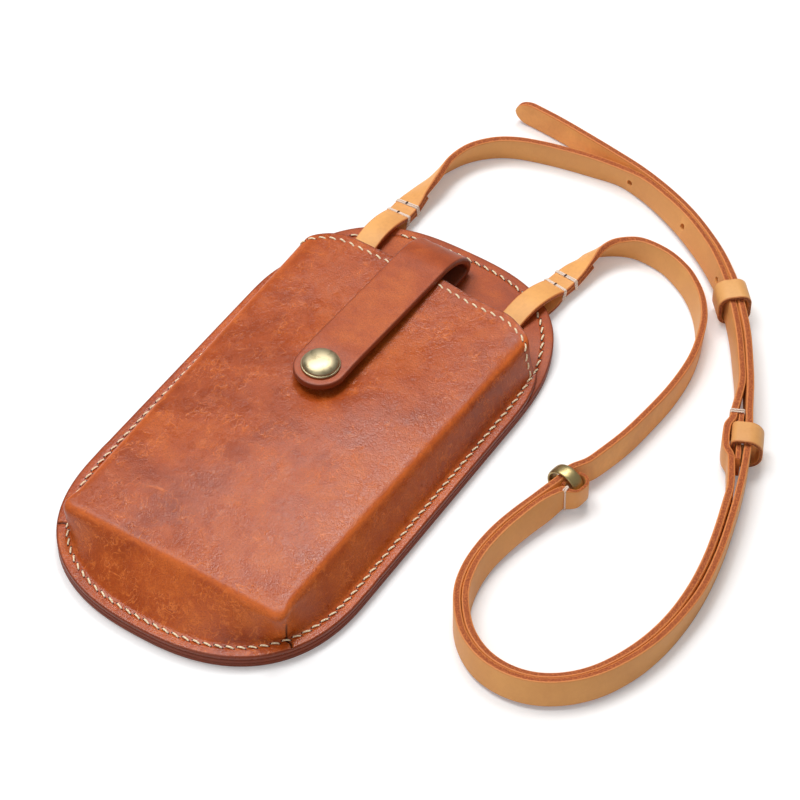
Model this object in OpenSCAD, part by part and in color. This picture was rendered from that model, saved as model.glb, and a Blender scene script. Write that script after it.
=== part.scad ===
// Leather phone pouch: a flat back, a moulded front pocket, a snap tab and a long strap
// that lies on its edge in a loop. The pouch lies on its back, with its mouth toward +Y.
// The origin is the centre of the back face.

/* [Back] */
// Width of the back and of the whole pouch
panel_w = 116; // [104:0.5:128]
// Length of the back, from the bottom edge to the top edge
panel_len = 213; // [200:0.5:230]
// Thickness of the outer back leather
back_t = 1.8; // [1.4:0.1:2.4]
// Thickness of the lining that lies on the outer back
lining_t = 1.8; // [1.4:0.1:2.4]
// Height of the rounded zone at the bottom edge
bottom_zone = 55; // [45:0.5:60]
// Height of the rounded zone at the top edge
top_zone = 64; // [55:0.5:68]

/* [Front pocket] */
// Thickness of the moulded front leather
front_t = 2; // [1.4:0.1:2.4]
// Height of the pocket's flat face above the ground
pocket_h = 20; // [17:0.5:26]
// Flat flange between the edge of the back and the foot of the pocket wall
flange_w = 7.5; // [6:0.25:10]
// Half width of the flat face at its bottom corners
face_half_bottom = 44; // [38:0.5:46]
// Half width of the flat face at the mouth
face_half_mouth = 48; // [40:0.5:49]
// Distance of the flat face from the bottom edge of the back
face_bottom = 22.7; // [16:0.1:30]
// Corner radius of the flat face
face_corner_r = 5.5; // [3:0.5:9]
// Distance of the mouth edge from the top edge of the back
mouth_back = 29.5; // [26:0.5:34]
// How far the mouth edge falls back where it runs down the side walls
mouth_drop = 10; // [6:0.5:12]

/* [Snap tab] */
// Width of the tab
tab_w = 20; // [16:0.5:24]
// Thickness of the tab leather
tab_t = 2.8; // [2:0.1:3.2]
// Sideways place of the tab from the middle of the pouch
tab_x = -3.7; // [-6:0.1:6]
// Distance of the snap from the top edge of the back
snap_back = 94.5; // [85:0.5:105]
// Length of the tab's root that is stitched down inside the mouth
root_len = 24; // [16:0.5:30]
// Clear height of the curl above its lowest ply, along its middle line
curl_h = 13.3; // [11:0.1:16]
// Depth of the curl from the mouth to its farthest point, along its middle line
curl_len = 20.6; // [17:0.1:22]
// Diameter of the snap's cap
cap_d = 14.5; // [12:0.5:16]
// Height of the cap above the tab
cap_h = 3.2; // [2.4:0.1:4]

/* [Strap] */
// Width of the strap leather
strap_w = 10.1; // [8:0.1:12]
// Thickness of the strap leather
strap_t = 2.7; // [2:0.1:3]
// Thickness of each ply where the strap is folded and stitched
ply_t = 1.9; // [1.5:0.1:2.4]
// Unit length that the laid strap's route is written in
lay_span = 100; // [95:1:105]
// Sideways place of the left strap loop
left_loop_x = -33.4; // [-36:0.2:-28]
// Sideways place of the right strap loop
right_loop_x = 36.7; // [32:0.2:38]
// Diameter of the adjusting holes
strap_hole_d = 2.5; // [1.6:0.1:3]

/* [Keepers and ring] */
// Thickness of the keeper leather
keeper_wall = 1.5; // [1.2:0.1:2.2]
// Length of a keeper along the strap
keeper_len = 9.7; // [6:0.1:12]
// Clear width inside the sliding keeper
slider_in_w = 9.6; // [8:0.2:12]
// Clear width inside the fixed keeper
fixed_in_w = 8.8; // [8:0.2:12]
// Clearance between a keeper and the strap's edges
keeper_play = 0.5; // [0.3:0.05:0.8]
// Wall of the brass ring, from its inner to its outer radius
ring_wall = 1.35; // [1.1:0.05:2.2]
// Length of the brass ring along the strap
ring_len = 5; // [3:0.25:7]

/* [Hidden] */

// Facets of the turned parts and of one rounded end of the back
turn_fn = 64;
end_steps = 22;
// Overrun of every cut
over = 1;
// Thin slab that a blend is spanned from
sliver = 0.02;

// Outline exponents of the rounded ends
bottom_power = 2.43;
top_power = 2.74;
stack_t = back_t + lining_t;
half_w = panel_w / 2;

// Top margin: it is lifted off the ground, so that the folded strap passes under it.
// An S-curve lifts it between these two distances from the top edge
turn_play = 0.35;
ground_play = 0.05;
margin_lift = ply_t + turn_play + ground_play;
lift_from_back = 39;
lift_to_back = 23;
lift_y0 = panel_len - lift_from_back;
lift_y1 = panel_len - lift_to_back;
lift_steps = 10;

// Front pocket values
face_y = face_bottom;
mouth_y = panel_len - mouth_back;
wall_skew = 0.8;
shoulder_drop = 2.8;
shoulder_side = 2.1;
shoulder_end = 3.4;
mouth_bend_in = 8.5;
mouth_run = 10;
mouth_steps = 12;

// Snap values: heights build up from the pocket's flat face
snap_y = panel_len - snap_back;
eyelet_flange_r = 4.2;
eyelet_flange_t = 0.8;
post_r = 1.6;
leather_hole_r = 2;
stud_flange_r = 5.25;
stud_flange_t = 0.8;
stud_neck_r = 2;
stud_neck_h = 1.1;
stud_head_r = 2.45;
stud_head_h = 0.7;
stud_crown = 0.35;
socket_r = 5.25;
socket_gap = 0.2;
socket_h = 3;
socket_bore_r = 3.1;
socket_plate_t = 0.7;
spring_gap = 0.2;
spring_wire_r = 0.22;
spring_mouth = 1.2;
cap_rim_t = 0.9;
cap_seat = 0.05;
cap_flare_r = 2.3;
cap_flare_t = 0.3;
socket_z = pocket_h + stud_flange_t + socket_gap;
tab_snap_z = socket_z + socket_h;

// Tab: height of its middle line over the snap and at the mouth
tab_seat = 0.05;
tab_root_z = stack_t + tab_seat + tab_t / 2;
tab_low_z = tab_root_z + margin_lift;
curl_bend_r = 2.9;
curl_y = panel_len - 30.5;
curl_mid_z = tab_low_z + 0.85;
tab_mouth_z = max(curl_mid_z + curl_h, pocket_h + tab_t / 2 + 0.4);
tab_end_z = tab_snap_z + tab_t / 2;
tab_rise_from = 17.5;
tab_rise_to = 53;
curl_steps = 14;
rise_steps = 8;
tab_gap = 0.3;
// Hinge of the tab: where the curl stands upright, on its outer face
tab_hinge_z = curl_mid_z + 2.1;
tab_hinge_y = curl_y + curl_len + tab_t / 2;

// Strap loops: each strap turns round the top margin through a slot
margin_mid_z = margin_lift + stack_t / 2;
slot_play = 0.4;
turn_r = stack_t / 2 + turn_play + ply_t / 2;
turn_y = panel_len - 22;
slot_w = strap_w + 2 * slot_play;
slot_y0 = turn_y - turn_r - ply_t / 2 - slot_play;
inner_turn_r = turn_r - ply_t / 2 - 0.2;
slot_y1 = turn_y - sqrt(pow(inner_turn_r, 2) - pow(stack_t / 2, 2));
turn_steps = 8;
ply_gap = 0.1;
edge_chamfer_share = 0.16;

// Keepers and ring
keeper_in_h = strap_w + 2 * keeper_play;
keeper_out_h = keeper_in_h + 2 * keeper_wall;
keeper_lift = keeper_wall + keeper_play;
ring_play = 0.15;
fold_play = 0.3;
ring_strap_off = strap_t / 2 - 0.4;
ring_in_r = norm([strap_w / 2, ring_strap_off + strap_t / 2 - strap_t * edge_chamfer_share]) + ring_play;
ring_out_r = ring_in_r + ring_wall;
ring_lift = ring_out_r - strap_w / 2;
ring_edge_r_share = 0.42;
tongue_w = strap_w * 0.82;

// The laid strap. Its places are shares of lay_span, from the middle of the pouch and
// from the strap's turn round the top margin: [across, along, keeper lift, ring lift,
// roll], with the lifts in shares of keeper_lift and ring_lift. A strap at roll 90 stands
// on its edge. The middle line of the two layers, from the ring round the near bend to
// the keepers and the far left.
pair_shares = [
    [0.920, -0.580, 0, 1, 96], [0.905, -0.652, 0, 1, 102], [0.885, -0.718, 0, 0.9, 107],
    [0.862, -0.803, 0, 0.65, 107], [0.842, -0.898, 0, 0.35, 106], [0.832, -1.000, 0, 0.12, 103],
    [0.838, -1.096, 0, 0, 100], [0.862, -1.187, 0, 0, 96], [0.908, -1.271, 0, 0, 89],
    [0.977, -1.346, 0, 0, 85], [1.068, -1.398, 0, 0, 79], [1.170, -1.413, 0, 0, 75],
    [1.271, -1.391, 0, 0, 73], [1.362, -1.332, 0, 0, 73], [1.436, -1.243, 0, 0, 75],
    [1.489, -1.127, 0, 0, 79], [1.518, -1.010, 0, 0, 85], [1.530, -0.890, 0, 0, 89],
    [1.528, -0.760, 0.1, 0, 93], [1.512, -0.631, 0.3, 0, 93], [1.486, -0.507, 0.55, 0, 92],
    [1.451, -0.378, 0.8, 0, 91], [1.424, -0.290, 0.95, 0, 90], [1.390, -0.190, 1, 0, 90],
    [1.340, -0.070, 1, 0, 90], [1.278, 0.046, 1, 0, 91], [1.216, 0.160, 1, 0, 95],
    [1.154, 0.263, 1, 0, 97], [1.093, 0.358, 1, 0, 98], [1.036, 0.436, 1, 0, 98],
    [0.962, 0.527, 1, 0, 98], [0.880, 0.611, 0.75, 0, 103], [0.768, 0.707, 0.1, 0, 108],
    [0.624, 0.798, 0, 0, 108], [0.488, 0.862, 0, 0, 102], [0.377, 0.900, 0, 0, 97]];
// Single stretches: the left strap from its loop, the right strap from its loop to the
// ring, and the tail past the last shared place
left_shares = [
    [-0.331, 0.481, 0.4, 0, 115], [-0.328, 0.574, 0.3, 0, 111], [-0.297, 0.672, 0.3, 0, 101],
    [-0.236, 0.754, 0.2, 0, 95], [-0.159, 0.808, 0.1, 0, 92], [-0.067, 0.843, 0, 0, 90],
    [0.037, 0.868, 0, 0, 90], [0.148, 0.888, 0, 0, 90], [0.262, 0.900, 0, 0, 94]];
right_shares = [
    [0.400, 0.473, 0.4, 0, 119], [0.434, 0.530, 0.3, 0, 110], [0.486, 0.573, 0.2, 0, 97],
    [0.547, 0.593, 0.15, 0, 85], [0.645, 0.588, 0, 0, 78], [0.735, 0.553, 0, 0, 72],
    [0.798, 0.512, 0, 0, 73], [0.856, 0.459, 0, 0, 75], [0.911, 0.387, 0, 0, 80],
    [0.948, 0.312, 0, 0, 86], [0.979, 0.210, 0, 0, 88], [0.994, 0.115, 0, 0, 91],
    [0.999, -0.002, 0, 0, 94], [0.993, -0.123, 0, 0.1, 96], [0.978, -0.277, 0, 0.3, 98],
    [0.953, -0.408, 0, 0.7, 98], [0.934, -0.474, 0, 0.9, 95]];
tail_shares = [
    [0.350, 0.922, 0.1, 0, 99], [0.220, 0.950, 0.1, 0, 96], [0.050, 0.978, 0.1, 0, 95],
    [-0.080, 0.996, 0.1, 0, 95], [-0.200, 1.006, 0.1, 0, 95], [-0.272, 1.003, 0.1, 0, 95]];
// Which of the shared places lie between the layers' keepers, and how far they part there
// in shares of strap_t
pair_gap_shares = [for (i = [0 : len(pair_shares) - 1])
    i < 5 ? 0.2 : i < 18 ? 0.1 : i < 23 ? 0.25 : i < 28 ? 0.15 : i < 31 ? 0.2 : i < 33 ? 0.14 : 0.2];
// Shared places that the tail leaves from and that the keepers stand at
slider_i = 30;
fixed_i = 24;
tunnel_i0 = 22;
tunnel_i1 = 26;
span_steps = 2;
tip_steps = 5;
tip_len = 7.5;

// Ring place: shares of lay_span again, and the strap's direction through it
ring_shares = [0.902, -0.572];
ring_turn = 9;

// Bend line between the strap's upper part and its free loop
bend_shares = [0.983, 0.19];
bend_angle = 22;
bend_gap = 0.4;

// A smooth step from 0 to 1
function ease(u) = let (v = min(1, max(0, u))) v * v * (3 - 2 * v);
function lift_at(y) = margin_lift * ease((y - lift_y0) / (lift_y1 - lift_y0));
function unit(v) = v / norm(v);
function dot(a, b) = a * b;

// Places of the laid strap: [x, y, height of its middle line, roll]. A strap that leans
// rests on its lower corner, and one in a keeper or the ring is held at its middle
function laid(s, thick) = [s[0] * lay_span, turn_y + s[1] * lay_span,
    strap_w / 2 + s[2] * keeper_lift + s[3] * ring_lift
    + (1 - s[2]) * (1 - s[3]) * (strap_w / 2 * (sin(s[4]) - 1) + thick / 2 * abs(cos(s[4]))),
    s[4]];

// Smooth curve through rows of numbers, with steps rows from each row to the next
function between(p, q, r, s, u) = (2 * q + (r - p) * u + (2 * p - 5 * q + 4 * r - s) * u * u
    + (3 * q - p - 3 * r + s) * u * u * u) / 2;
function smooth(rows, steps) = let (n = len(rows)) concat(
    [for (i = [0 : n - 2], k = [0 : steps - 1])
        between(rows[max(i - 1, 0)], rows[i], rows[i + 1], rows[min(i + 2, n - 1)], k / steps)],
    [rows[n - 1]]);

// Plan direction and left side of a polyline's point
function heading(rows, i) = let (
    a = rows[max(i - 1, 0)],
    b = rows[min(i + 1, len(rows) - 1)])
    unit([b[0] - a[0], b[1] - a[1]]);
function left_of(d) = [-d[1], d[0]];

// Rows of a strap: [x, y, z of its middle, roll, thickness, width]. A row beside another
// is moved to its left, square to the leather
function beside(rows, i, off) = let (h = left_of(heading(rows, i)), r = rows[i][3])
    [rows[i][0] + off * sin(r) * h[0], rows[i][1] + off * sin(r) * h[1],
        rows[i][2] - off * cos(r), r, strap_t, strap_w];
// The same row for a strap that runs the other way
function turned(r) = [r[0], r[1], r[2], 180 - r[3], r[4], r[5]];
pair_rows = [for (s = pair_shares) laid(s, 2 * strap_t)];
function pair_gap(i) = pair_gap_shares[i] * strap_t;

// The tunnel beside the fixed keeper: the keeper's wall passes between the left strap
// and the patch sewn to it, so the left strap bulges away from the right one
patch_clear = 0.9;
patch_lay = 0.75;
tunnel_play = 0.4;
patch_z_w = strap_w * 0.93;
bulge = patch_clear + ply_t + 2 * tunnel_play + keeper_wall + strap_t / 2;
whip_off = patch_lay + ply_t + ply_gap + strap_t / 2;

// The strap beside the pair line: +1 is the inner layer, which is the left strap
function inner_row(i) = beside(pair_rows, i, (strap_t + pair_gap(i)) / 2);
function outer_row(i) = beside(pair_rows, i, -(strap_t + pair_gap(i)) / 2);

// Ring frame: across the strap and along it
ring_c = [ring_shares[0] * lay_span, turn_y + ring_shares[1] * lay_span];
ring_along = [sin(ring_turn), cos(ring_turn)];
ring_across = [cos(ring_turn), -sin(ring_turn)];
function at_ring(u, v, t, w) = let (p = ring_c + u * ring_across + v * ring_along)
    [p[0], p[1], ring_out_r, 90, t, w];

// Tunnel rows of the inner strap, by distance along the pair line from the fixed keeper
fixed_c = pair_rows[fixed_i];
fixed_d = heading(pair_rows, fixed_i);
function at_fixed(s, off, t, w) = let (p = [fixed_c[0], fixed_c[1]] + s * fixed_d + off * left_of(fixed_d))
    [p[0], p[1], fixed_c[2], 90, t, w];
keeper_half = keeper_len / 2;
tunnel_rows = [
    at_fixed(-keeper_half - 2.7 * strap_t, whip_off - 0.1, strap_t, strap_w),
    at_fixed(-keeper_half - 1.6 * strap_t, whip_off + 0.4, strap_t, strap_w),
    at_fixed(-keeper_half - 0.5 * strap_t, bulge * 0.94, strap_t, strap_w),
    at_fixed(-keeper_half * 0.5, bulge + 0.15, strap_t, strap_w),
    at_fixed(keeper_half * 0.5, bulge + 0.05, strap_t, strap_w),
    at_fixed(keeper_half + 0.1 * strap_t, bulge - 0.3, strap_t, strap_w),
    at_fixed(keeper_half + 1.3 * strap_t, whip_off + 0.5, strap_t, strap_w),
    at_fixed(keeper_half + 2.9 * strap_t, whip_off + 0.1, strap_t, strap_w)];

// Fold of the left strap round the ring's wall, and the returned tongue inside the ring
fold_t = 1.3;
fold_out = ring_out_r + fold_play + fold_t / 2;
fold_far = ring_len / 2 + fold_play + fold_t / 2;
fold_in = strap_t / 2 - ring_strap_off + ply_gap + fold_t / 2;
fold_rows = [
    at_ring(fold_in + 1.6 * fold_t, -1.8 * fold_far, strap_t, strap_w),
    at_ring(fold_out * 0.64, -fold_far * 1.5, (strap_t + fold_t) / 2, strap_w * 0.97),
    at_ring(fold_out * 0.95, -fold_far * 0.9, fold_t, strap_w * 0.9),
    at_ring(fold_out, 0, fold_t, tongue_w),
    at_ring(fold_out * 0.96, fold_far * 0.72, fold_t, tongue_w),
    at_ring(fold_out * 0.72, fold_far * 1.25, fold_t, tongue_w),
    at_ring(fold_out * 0.42, fold_far * 1.22, fold_t, tongue_w),
    at_ring(fold_in * 1.08, fold_far * 0.7, fold_t, tongue_w),
    at_ring(fold_in, 0, fold_t, tongue_w),
    at_ring(fold_in + 0.2, -fold_far * 0.6, fold_t, tongue_w),
    at_ring(fold_in + 0.5, -fold_far * 1.15, fold_t, tongue_w)];

// The right strap in the ring
ring_rows = [
    at_ring(-ring_strap_off, ring_len * 0.8, strap_t, strap_w),
    at_ring(-ring_strap_off, 0, strap_t, strap_w),
    at_ring(-ring_strap_off + 0.1, -ring_len * 0.7, strap_t, strap_w)];

seam_drop = 2.15;
seam_rise = 0.45;
fold_end_share = 0.8;
// Loop rows: the folded end, the turn round the margin and the upper ply, then the twist.
// Each twist row is [distance past the turn, height, roll]
function ply_row(x, y, z, roll) = [x, y, z, roll, ply_t, strap_w];
function low_row(x, y, z, roll, share = 1) = let (off = ply_t + ply_gap)
    [x - off * sin(roll), y, z - off * cos(roll), roll, ply_t, strap_w * share];
stack_z = margin_mid_z + turn_r;
seam_z = stack_z - seam_drop;
seam_roll_a = 10;
seam_roll_b = 22;
seam_roll_c = 42;
seam_end = 31;
seam_start = 25;
seam_play = 0.05;
// Each loop runs sideways by its run, and its fold ends at its own place and roll
left_run = 0;
left_fold_end = 41;
left_fold_roll = 62;
right_run = 0.14;
right_fold_end = 43;
right_fold_roll = 74;
function loop_x(x, run, at) = x + run * max(at - seam_start, 0);
function loop_rows(x, run, fold_end, fold_roll) = let (mid = (fold_end + seam_end) / 2) concat(
    [low_row(loop_x(x, run, fold_end), turn_y + fold_end, seam_z + seam_rise, fold_roll, fold_end_share),
        low_row(loop_x(x, run, mid), turn_y + mid, seam_z + seam_rise / 2, seam_roll_c, (1 + fold_end_share) / 2),
        low_row(loop_x(x, run, seam_end), turn_y + seam_end, seam_z, seam_roll_b),
        low_row(x, turn_y + seam_start, seam_z + seam_play, seam_roll_a),
        ply_row(x, turn_y + seam_start - 5, margin_mid_z - turn_r + 0.2, 0),
        ply_row(x, turn_y + seam_start - 13, margin_mid_z - turn_r, 0)],
    [for (k = [0 : turn_steps]) let (a = -90 - 180 * k / turn_steps)
        ply_row(x, turn_y + turn_r * cos(a), margin_mid_z + turn_r * sin(a), 0)],
    [ply_row(x, turn_y + seam_start - 19, stack_z + 0.35, 0),
        ply_row(x, turn_y + seam_start - 12, stack_z + 0.4, 0),
        ply_row(x, turn_y + seam_start - 4, stack_z - 0.35, 4),
        ply_row(x, turn_y + seam_start, seam_z + seam_play, seam_roll_a),
        ply_row(loop_x(x, run, seam_end), turn_y + seam_end, seam_z, seam_roll_b),
        ply_row(loop_x(x, run, mid), turn_y + mid, seam_z + seam_rise / 2, seam_roll_c),
        ply_row(loop_x(x, run, fold_end), turn_y + fold_end, seam_z + seam_rise, fold_roll)]);
left_loop = loop_rows(left_loop_x, left_run, left_fold_end, left_fold_roll);
right_loop = loop_rows(right_loop_x, right_run, right_fold_end, right_fold_roll);
function standing(s) = concat(laid(s, strap_t), [strap_t, strap_w]);

// Whole left strap: loop, far edge, inner layer, tunnel, near bend, fold round the ring
pair_n = len(pair_shares);
left_key = concat(
    left_loop,
    [for (s = left_shares) standing(s)],
    [for (i = [pair_n - 1 : -1 : tunnel_i1]) turned(inner_row(i))],
    [for (i = [len(tunnel_rows) - 1 : -1 : 0]) tunnel_rows[i]],
    [for (i = [tunnel_i0 : -1 : 2]) turned(inner_row(i))],
    fold_rows);
right_key = concat(
    right_loop,
    [for (s = right_shares) standing(s)],
    ring_rows,
    [for (i = [2 : pair_n - 2]) outer_row(i)],
    [for (i = [0 : len(tail_shares) - 2]) standing(tail_shares[i])]);

// Cross-section of a strap: a flat bar with small chamfers on its edges
function section(t, w) = let (c = t * edge_chamfer_share, a = t / 2, b = w / 2)
    [[a, b - c], [a - c, b], [c - a, b], [-a, b - c], [-a, c - b], [c - a, -b], [a - c, -b], [a, c - b]];

// One ring of the swept strap
function ring_points(rows, i) = let (
    p = rows[i],
    a = rows[max(i - 1, 0)],
    b = rows[min(i + 1, len(rows) - 1)],
    d = unit([b[0] - a[0], b[1] - a[1], b[2] - a[2]]),
    flat = norm([d[0], d[1]]) > 0.5 && p[3] > 0 ? unit([-d[1], d[0]]) : [-1, 0],
    w0 = [flat[0] * cos(p[3]), flat[1] * cos(p[3]), sin(p[3])],
    w = unit(w0 - dot(w0, d) * d),
    n = cross(d, w))
    [for (q = section(p[4], p[5])) [p[0], p[1], p[2]] + q[0] * n + q[1] * w];

// A strap swept along rows
module strap_along(rows) {
    n = len(rows);
    m = len(section(strap_t, strap_w));
    points = [for (i = [0 : n - 1]) each ring_points(rows, i)];
    sides = [for (i = [0 : n - 2], j = [0 : m - 1])
        [i * m + j, i * m + (j + 1) % m, (i + 1) * m + (j + 1) % m, (i + 1) * m + j]];
    tris = [for (f = sides) each [[f[0], f[1], f[2]], [f[0], f[2], f[3]]]];
    first = [for (j = [m - 1 : -1 : 0]) j];
    last = [for (j = [0 : m - 1]) (n - 1) * m + j];
    polyhedron(points = points, faces = concat(tris, [first, last]));
}

// Slices of a list, and the number of the row nearest to the bend line
function slice(rows, i0, i1) = [for (i = [i0 : i1]) rows[i]];

// Everything is drawn from the bottom edge of the back and then centred
module placed() {
    translate([0, -panel_len / 2, 0])
        children();
}

// Half of space on one side of the bend line: +1 is the pouch's side
module bend_side(side) {
    reach = panel_len + panel_w;
    translate([bend_shares[0] * lay_span, turn_y + bend_shares[1] * lay_span, -over])
        rotate([0, 0, bend_angle])
            translate([-reach, side > 0 ? bend_gap / 2 : -reach - bend_gap / 2, 0])
                cube([2 * reach, reach, strap_w + keeper_lift + 2 * over]);
}

// Quarter of a superellipse from its side to its tip: points [across, along]
function quarter(a, b, power, steps) = [for (k = [0 : steps]) let (t = 90 * k / steps)
    [a * pow(cos(t), 2 / power), b * pow(sin(t), 2 / power)]];

// Outline of the back, drawn in by inset on all sides
module outline(inset) {
    a = half_w - inset;
    low = [for (p = quarter(a, bottom_zone - inset, bottom_power, end_steps)) [p[0], bottom_zone - p[1]]];
    high = [for (p = quarter(a, top_zone - inset, top_power, end_steps)) [p[0], panel_len - top_zone + p[1]]];
    right = concat([for (i = [end_steps : -1 : 0]) low[i]], high);
    left = [for (i = [len(right) - 2 : -1 : 1]) [-right[i][0], right[i][1]]];
    polygon(concat(right, left));
}

// A leather layer of the back: it lies flat and its top margin is lifted
module back_layer(z0, t) {
    ys = concat([-over], [for (k = [0 : lift_steps]) lift_y0 + (lift_y1 - lift_y0) * k / lift_steps],
        [panel_len + over]);
    low = [for (y = ys) [y, z0 + lift_at(y)]];
    high = [for (i = [len(ys) - 1 : -1 : 0]) [ys[i], z0 + t + lift_at(ys[i])]];
    difference() {
        intersection() {
            linear_extrude(z0 + t + margin_lift + over)
                outline(0);
            translate([-half_w - over, 0, 0])
                along_x(panel_w + 2 * over)
                    polygon(concat(low, high));
        }
        slot(left_loop_x);
        slot(right_loop_x);
    }
}

// Draws a side view [y, z] and carries it along +X
module along_x(length) {
    rotate([90, 0, 90])
        linear_extrude(length)
            children();
}

// Slot that a strap loop passes through
module slot(x) {
    translate([x - slot_w / 2, slot_y0, -over])
        cube([slot_w, slot_y1 - slot_y0, margin_lift + stack_t + 2 * over]);
}

module back_panel() {
    color("sienna")
        placed()
            back_layer(0, back_t);
}

module back_lining() {
    color("saddlebrown")
        placed()
            back_layer(back_t, lining_t);
}

// Outline of the pocket's flat face, grown by side at its sides and by end at its bottom
module face_outline(side, end, r) {
    top = panel_len - lift_to_back + over;
    steps = 6;
    a = face_half_bottom + side;
    b = face_half_mouth + side + (face_half_mouth - face_half_bottom) * (top - mouth_y) / (mouth_y - face_y);
    y = face_y - end;
    corner = [for (k = [0 : steps]) let (t = 90 * k / steps)
        [a - r + r * sin(t), y + r - r * cos(t)]];
    right = concat(corner, [[b, top]]);
    left = [for (i = [len(right) - 1 : -1 : 0]) [-right[i][0], right[i][1]]];
    polygon(concat(right, left));
}

// Foot of the pocket wall: the back's outline drawn in, run on past the mouth
module foot_outline(inset) {
    a = half_w - inset;
    steps = 14;
    low = [for (p = quarter(a, bottom_zone - inset, bottom_power, steps)) [p[0], bottom_zone - p[1]]];
    top = panel_len - lift_to_back + over;
    right = concat([for (i = [steps : -1 : 0]) low[i]], [[a, top]]);
    left = [for (i = [len(right) - 1 : -1 : 1]) [-right[i][0], right[i][1]]];
    polygon(concat(right, left));
}

// Solid under the moulded leather, from the flange up to the flat face
module pocket_form(z0, z1, wall) {
    hull() {
        translate([0, 0, z0])
            linear_extrude(sliver)
                foot_outline(flange_w + wall);
        translate([0, 0, z1 - shoulder_drop])
            linear_extrude(sliver)
                face_outline(shoulder_side - wall, shoulder_end - wall - wall * wall_skew / 2, face_corner_r);
        translate([0, 0, z1 - sliver])
            linear_extrude(sliver)
                face_outline(-wall, -wall - wall * wall_skew / 2, face_corner_r);
    }
}

// Everything on the mouth's side of the mouth edge, which falls back on the side walls
module past_mouth() {
    x0 = face_half_mouth - mouth_bend_in;
    bend = [for (k = [0 : mouth_steps]) let (u = k / mouth_steps)
        [x0 + (mouth_run + 1) * u, mouth_y - mouth_drop * ease(u)]];
    right = concat(bend, [[half_w + over, mouth_y - mouth_drop], [half_w + over, panel_len + over]]);
    left = [for (i = [len(right) - 1 : -1 : 0]) [-right[i][0], right[i][1]]];
    translate([0, 0, -over])
        linear_extrude(pocket_h + 2 * over)
            polygon(concat(right, left));
}

module front_panel() {
    color("chocolate")
        placed()
            difference() {
                union() {
                    translate([0, 0, stack_t])
                        linear_extrude(front_t)
                            outline(0);
                    pocket_form(stack_t + front_t, pocket_h, 0);
                }
                pocket_form(stack_t - over, pocket_h - front_t, front_t);
                past_mouth();
                translate([tab_x, snap_y, 0])
                    cylinder(h = pocket_h + over, r = leather_hole_r, $fn = turn_fn);
            }
}

// Middle line of the tab, [y, z], from its root to its free end
root_line = concat([[lift_y0 - root_len, tab_root_z]],
    [for (k = [0 : lift_steps]) let (y = lift_y0 + (lift_y1 - lift_y0) * k / lift_steps)
        [y, tab_root_z + lift_at(y)]]);
bend_c = [curl_y + curl_len - curl_bend_r, tab_low_z + curl_bend_r];
bend_line = [for (k = [0 : 6]) let (a = -90 + 75 * k / 6) bend_c + curl_bend_r * [cos(a), sin(a)]];
curl_start = 11;
curl_line = [for (k = [0 : curl_steps]) let (a = curl_start + (90 - curl_start) * k / curl_steps)
    [curl_y + curl_len * cos(a), curl_mid_z + (tab_mouth_z - curl_mid_z) * sin(a)]];
rise_line = [for (k = [0 : rise_steps]) let (u = k / rise_steps)
    [curl_y - tab_rise_from - (tab_rise_to - tab_rise_from) * u, tab_mouth_z + (tab_end_z - tab_mouth_z) * ease(u)]];
tab_end = [[snap_y - tab_w / 2 - over, tab_end_z]];
tab_line = concat(root_line, bend_line, curl_line, rise_line, tab_end);

// One side of a line, shifted by off to its left
function shifted(line, off) = [for (i = [0 : len(line) - 1]) let (h = left_of(heading(line, i)))
    [line[i][0] + off * h[0], line[i][1] + off * h[1]]];

// The whole tab, from its root inside the mouth to its round end
module tab_strip() {
    one = shifted(tab_line, tab_t / 2);
    two = shifted(tab_line, -tab_t / 2);
    back_way = [for (i = [len(two) - 1 : -1 : 0]) two[i]];
    intersection() {
        translate([tab_x - tab_w / 2, 0, 0])
            along_x(tab_w)
                polygon(concat(one, back_way));
        linear_extrude(tab_end_z + tab_t + over) {
            translate([tab_x, snap_y])
                circle(r = tab_w / 2, $fn = turn_fn);
            translate([tab_x - tab_w / 2, snap_y])
                square([tab_w, panel_len - snap_y]);
        }
    }
}

// Space below the tab's hinge, on the mouth margin
module hinge_block(z0, z1) {
    translate([tab_x - tab_w, curl_y, z0])
        cube([2 * tab_w, curl_len + tab_t + over, z1 - z0]);
}

module tab_root() {
    color("brown")
        placed()
            difference() {
                tab_strip();
                hinge_block(tab_hinge_z - tab_gap / 2, pocket_h + tab_w);
                translate([tab_x - tab_w, 0, 0])
                    cube([2 * tab_w, curl_y + over, tab_end_z + tab_w]);
                }
    color("brown")
        placed()
            intersection() {
                tab_strip();
                translate([tab_x - tab_w, 0, 0])
                    cube([2 * tab_w, curl_y + over, stack_t + margin_lift + tab_t + over]);
            }
}

module closure_tab() {
    color("brown")
        placed()
            difference() {
                tab_strip();
                hinge_block(-over, tab_hinge_z + tab_gap / 2);
                translate([tab_x - tab_w, 0, -over])
                    cube([2 * tab_w, curl_y + over, stack_t + margin_lift + tab_t + 2 * over]);
                translate([tab_x, snap_y, 0])
                    cylinder(h = tab_end_z + tab_w, r = leather_hole_r, $fn = turn_fn);
            }
}

// Turned pieces of the snap stand on its axis
module at_snap(z) {
    placed()
        translate([tab_x, snap_y, z])
            children();
}

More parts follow.
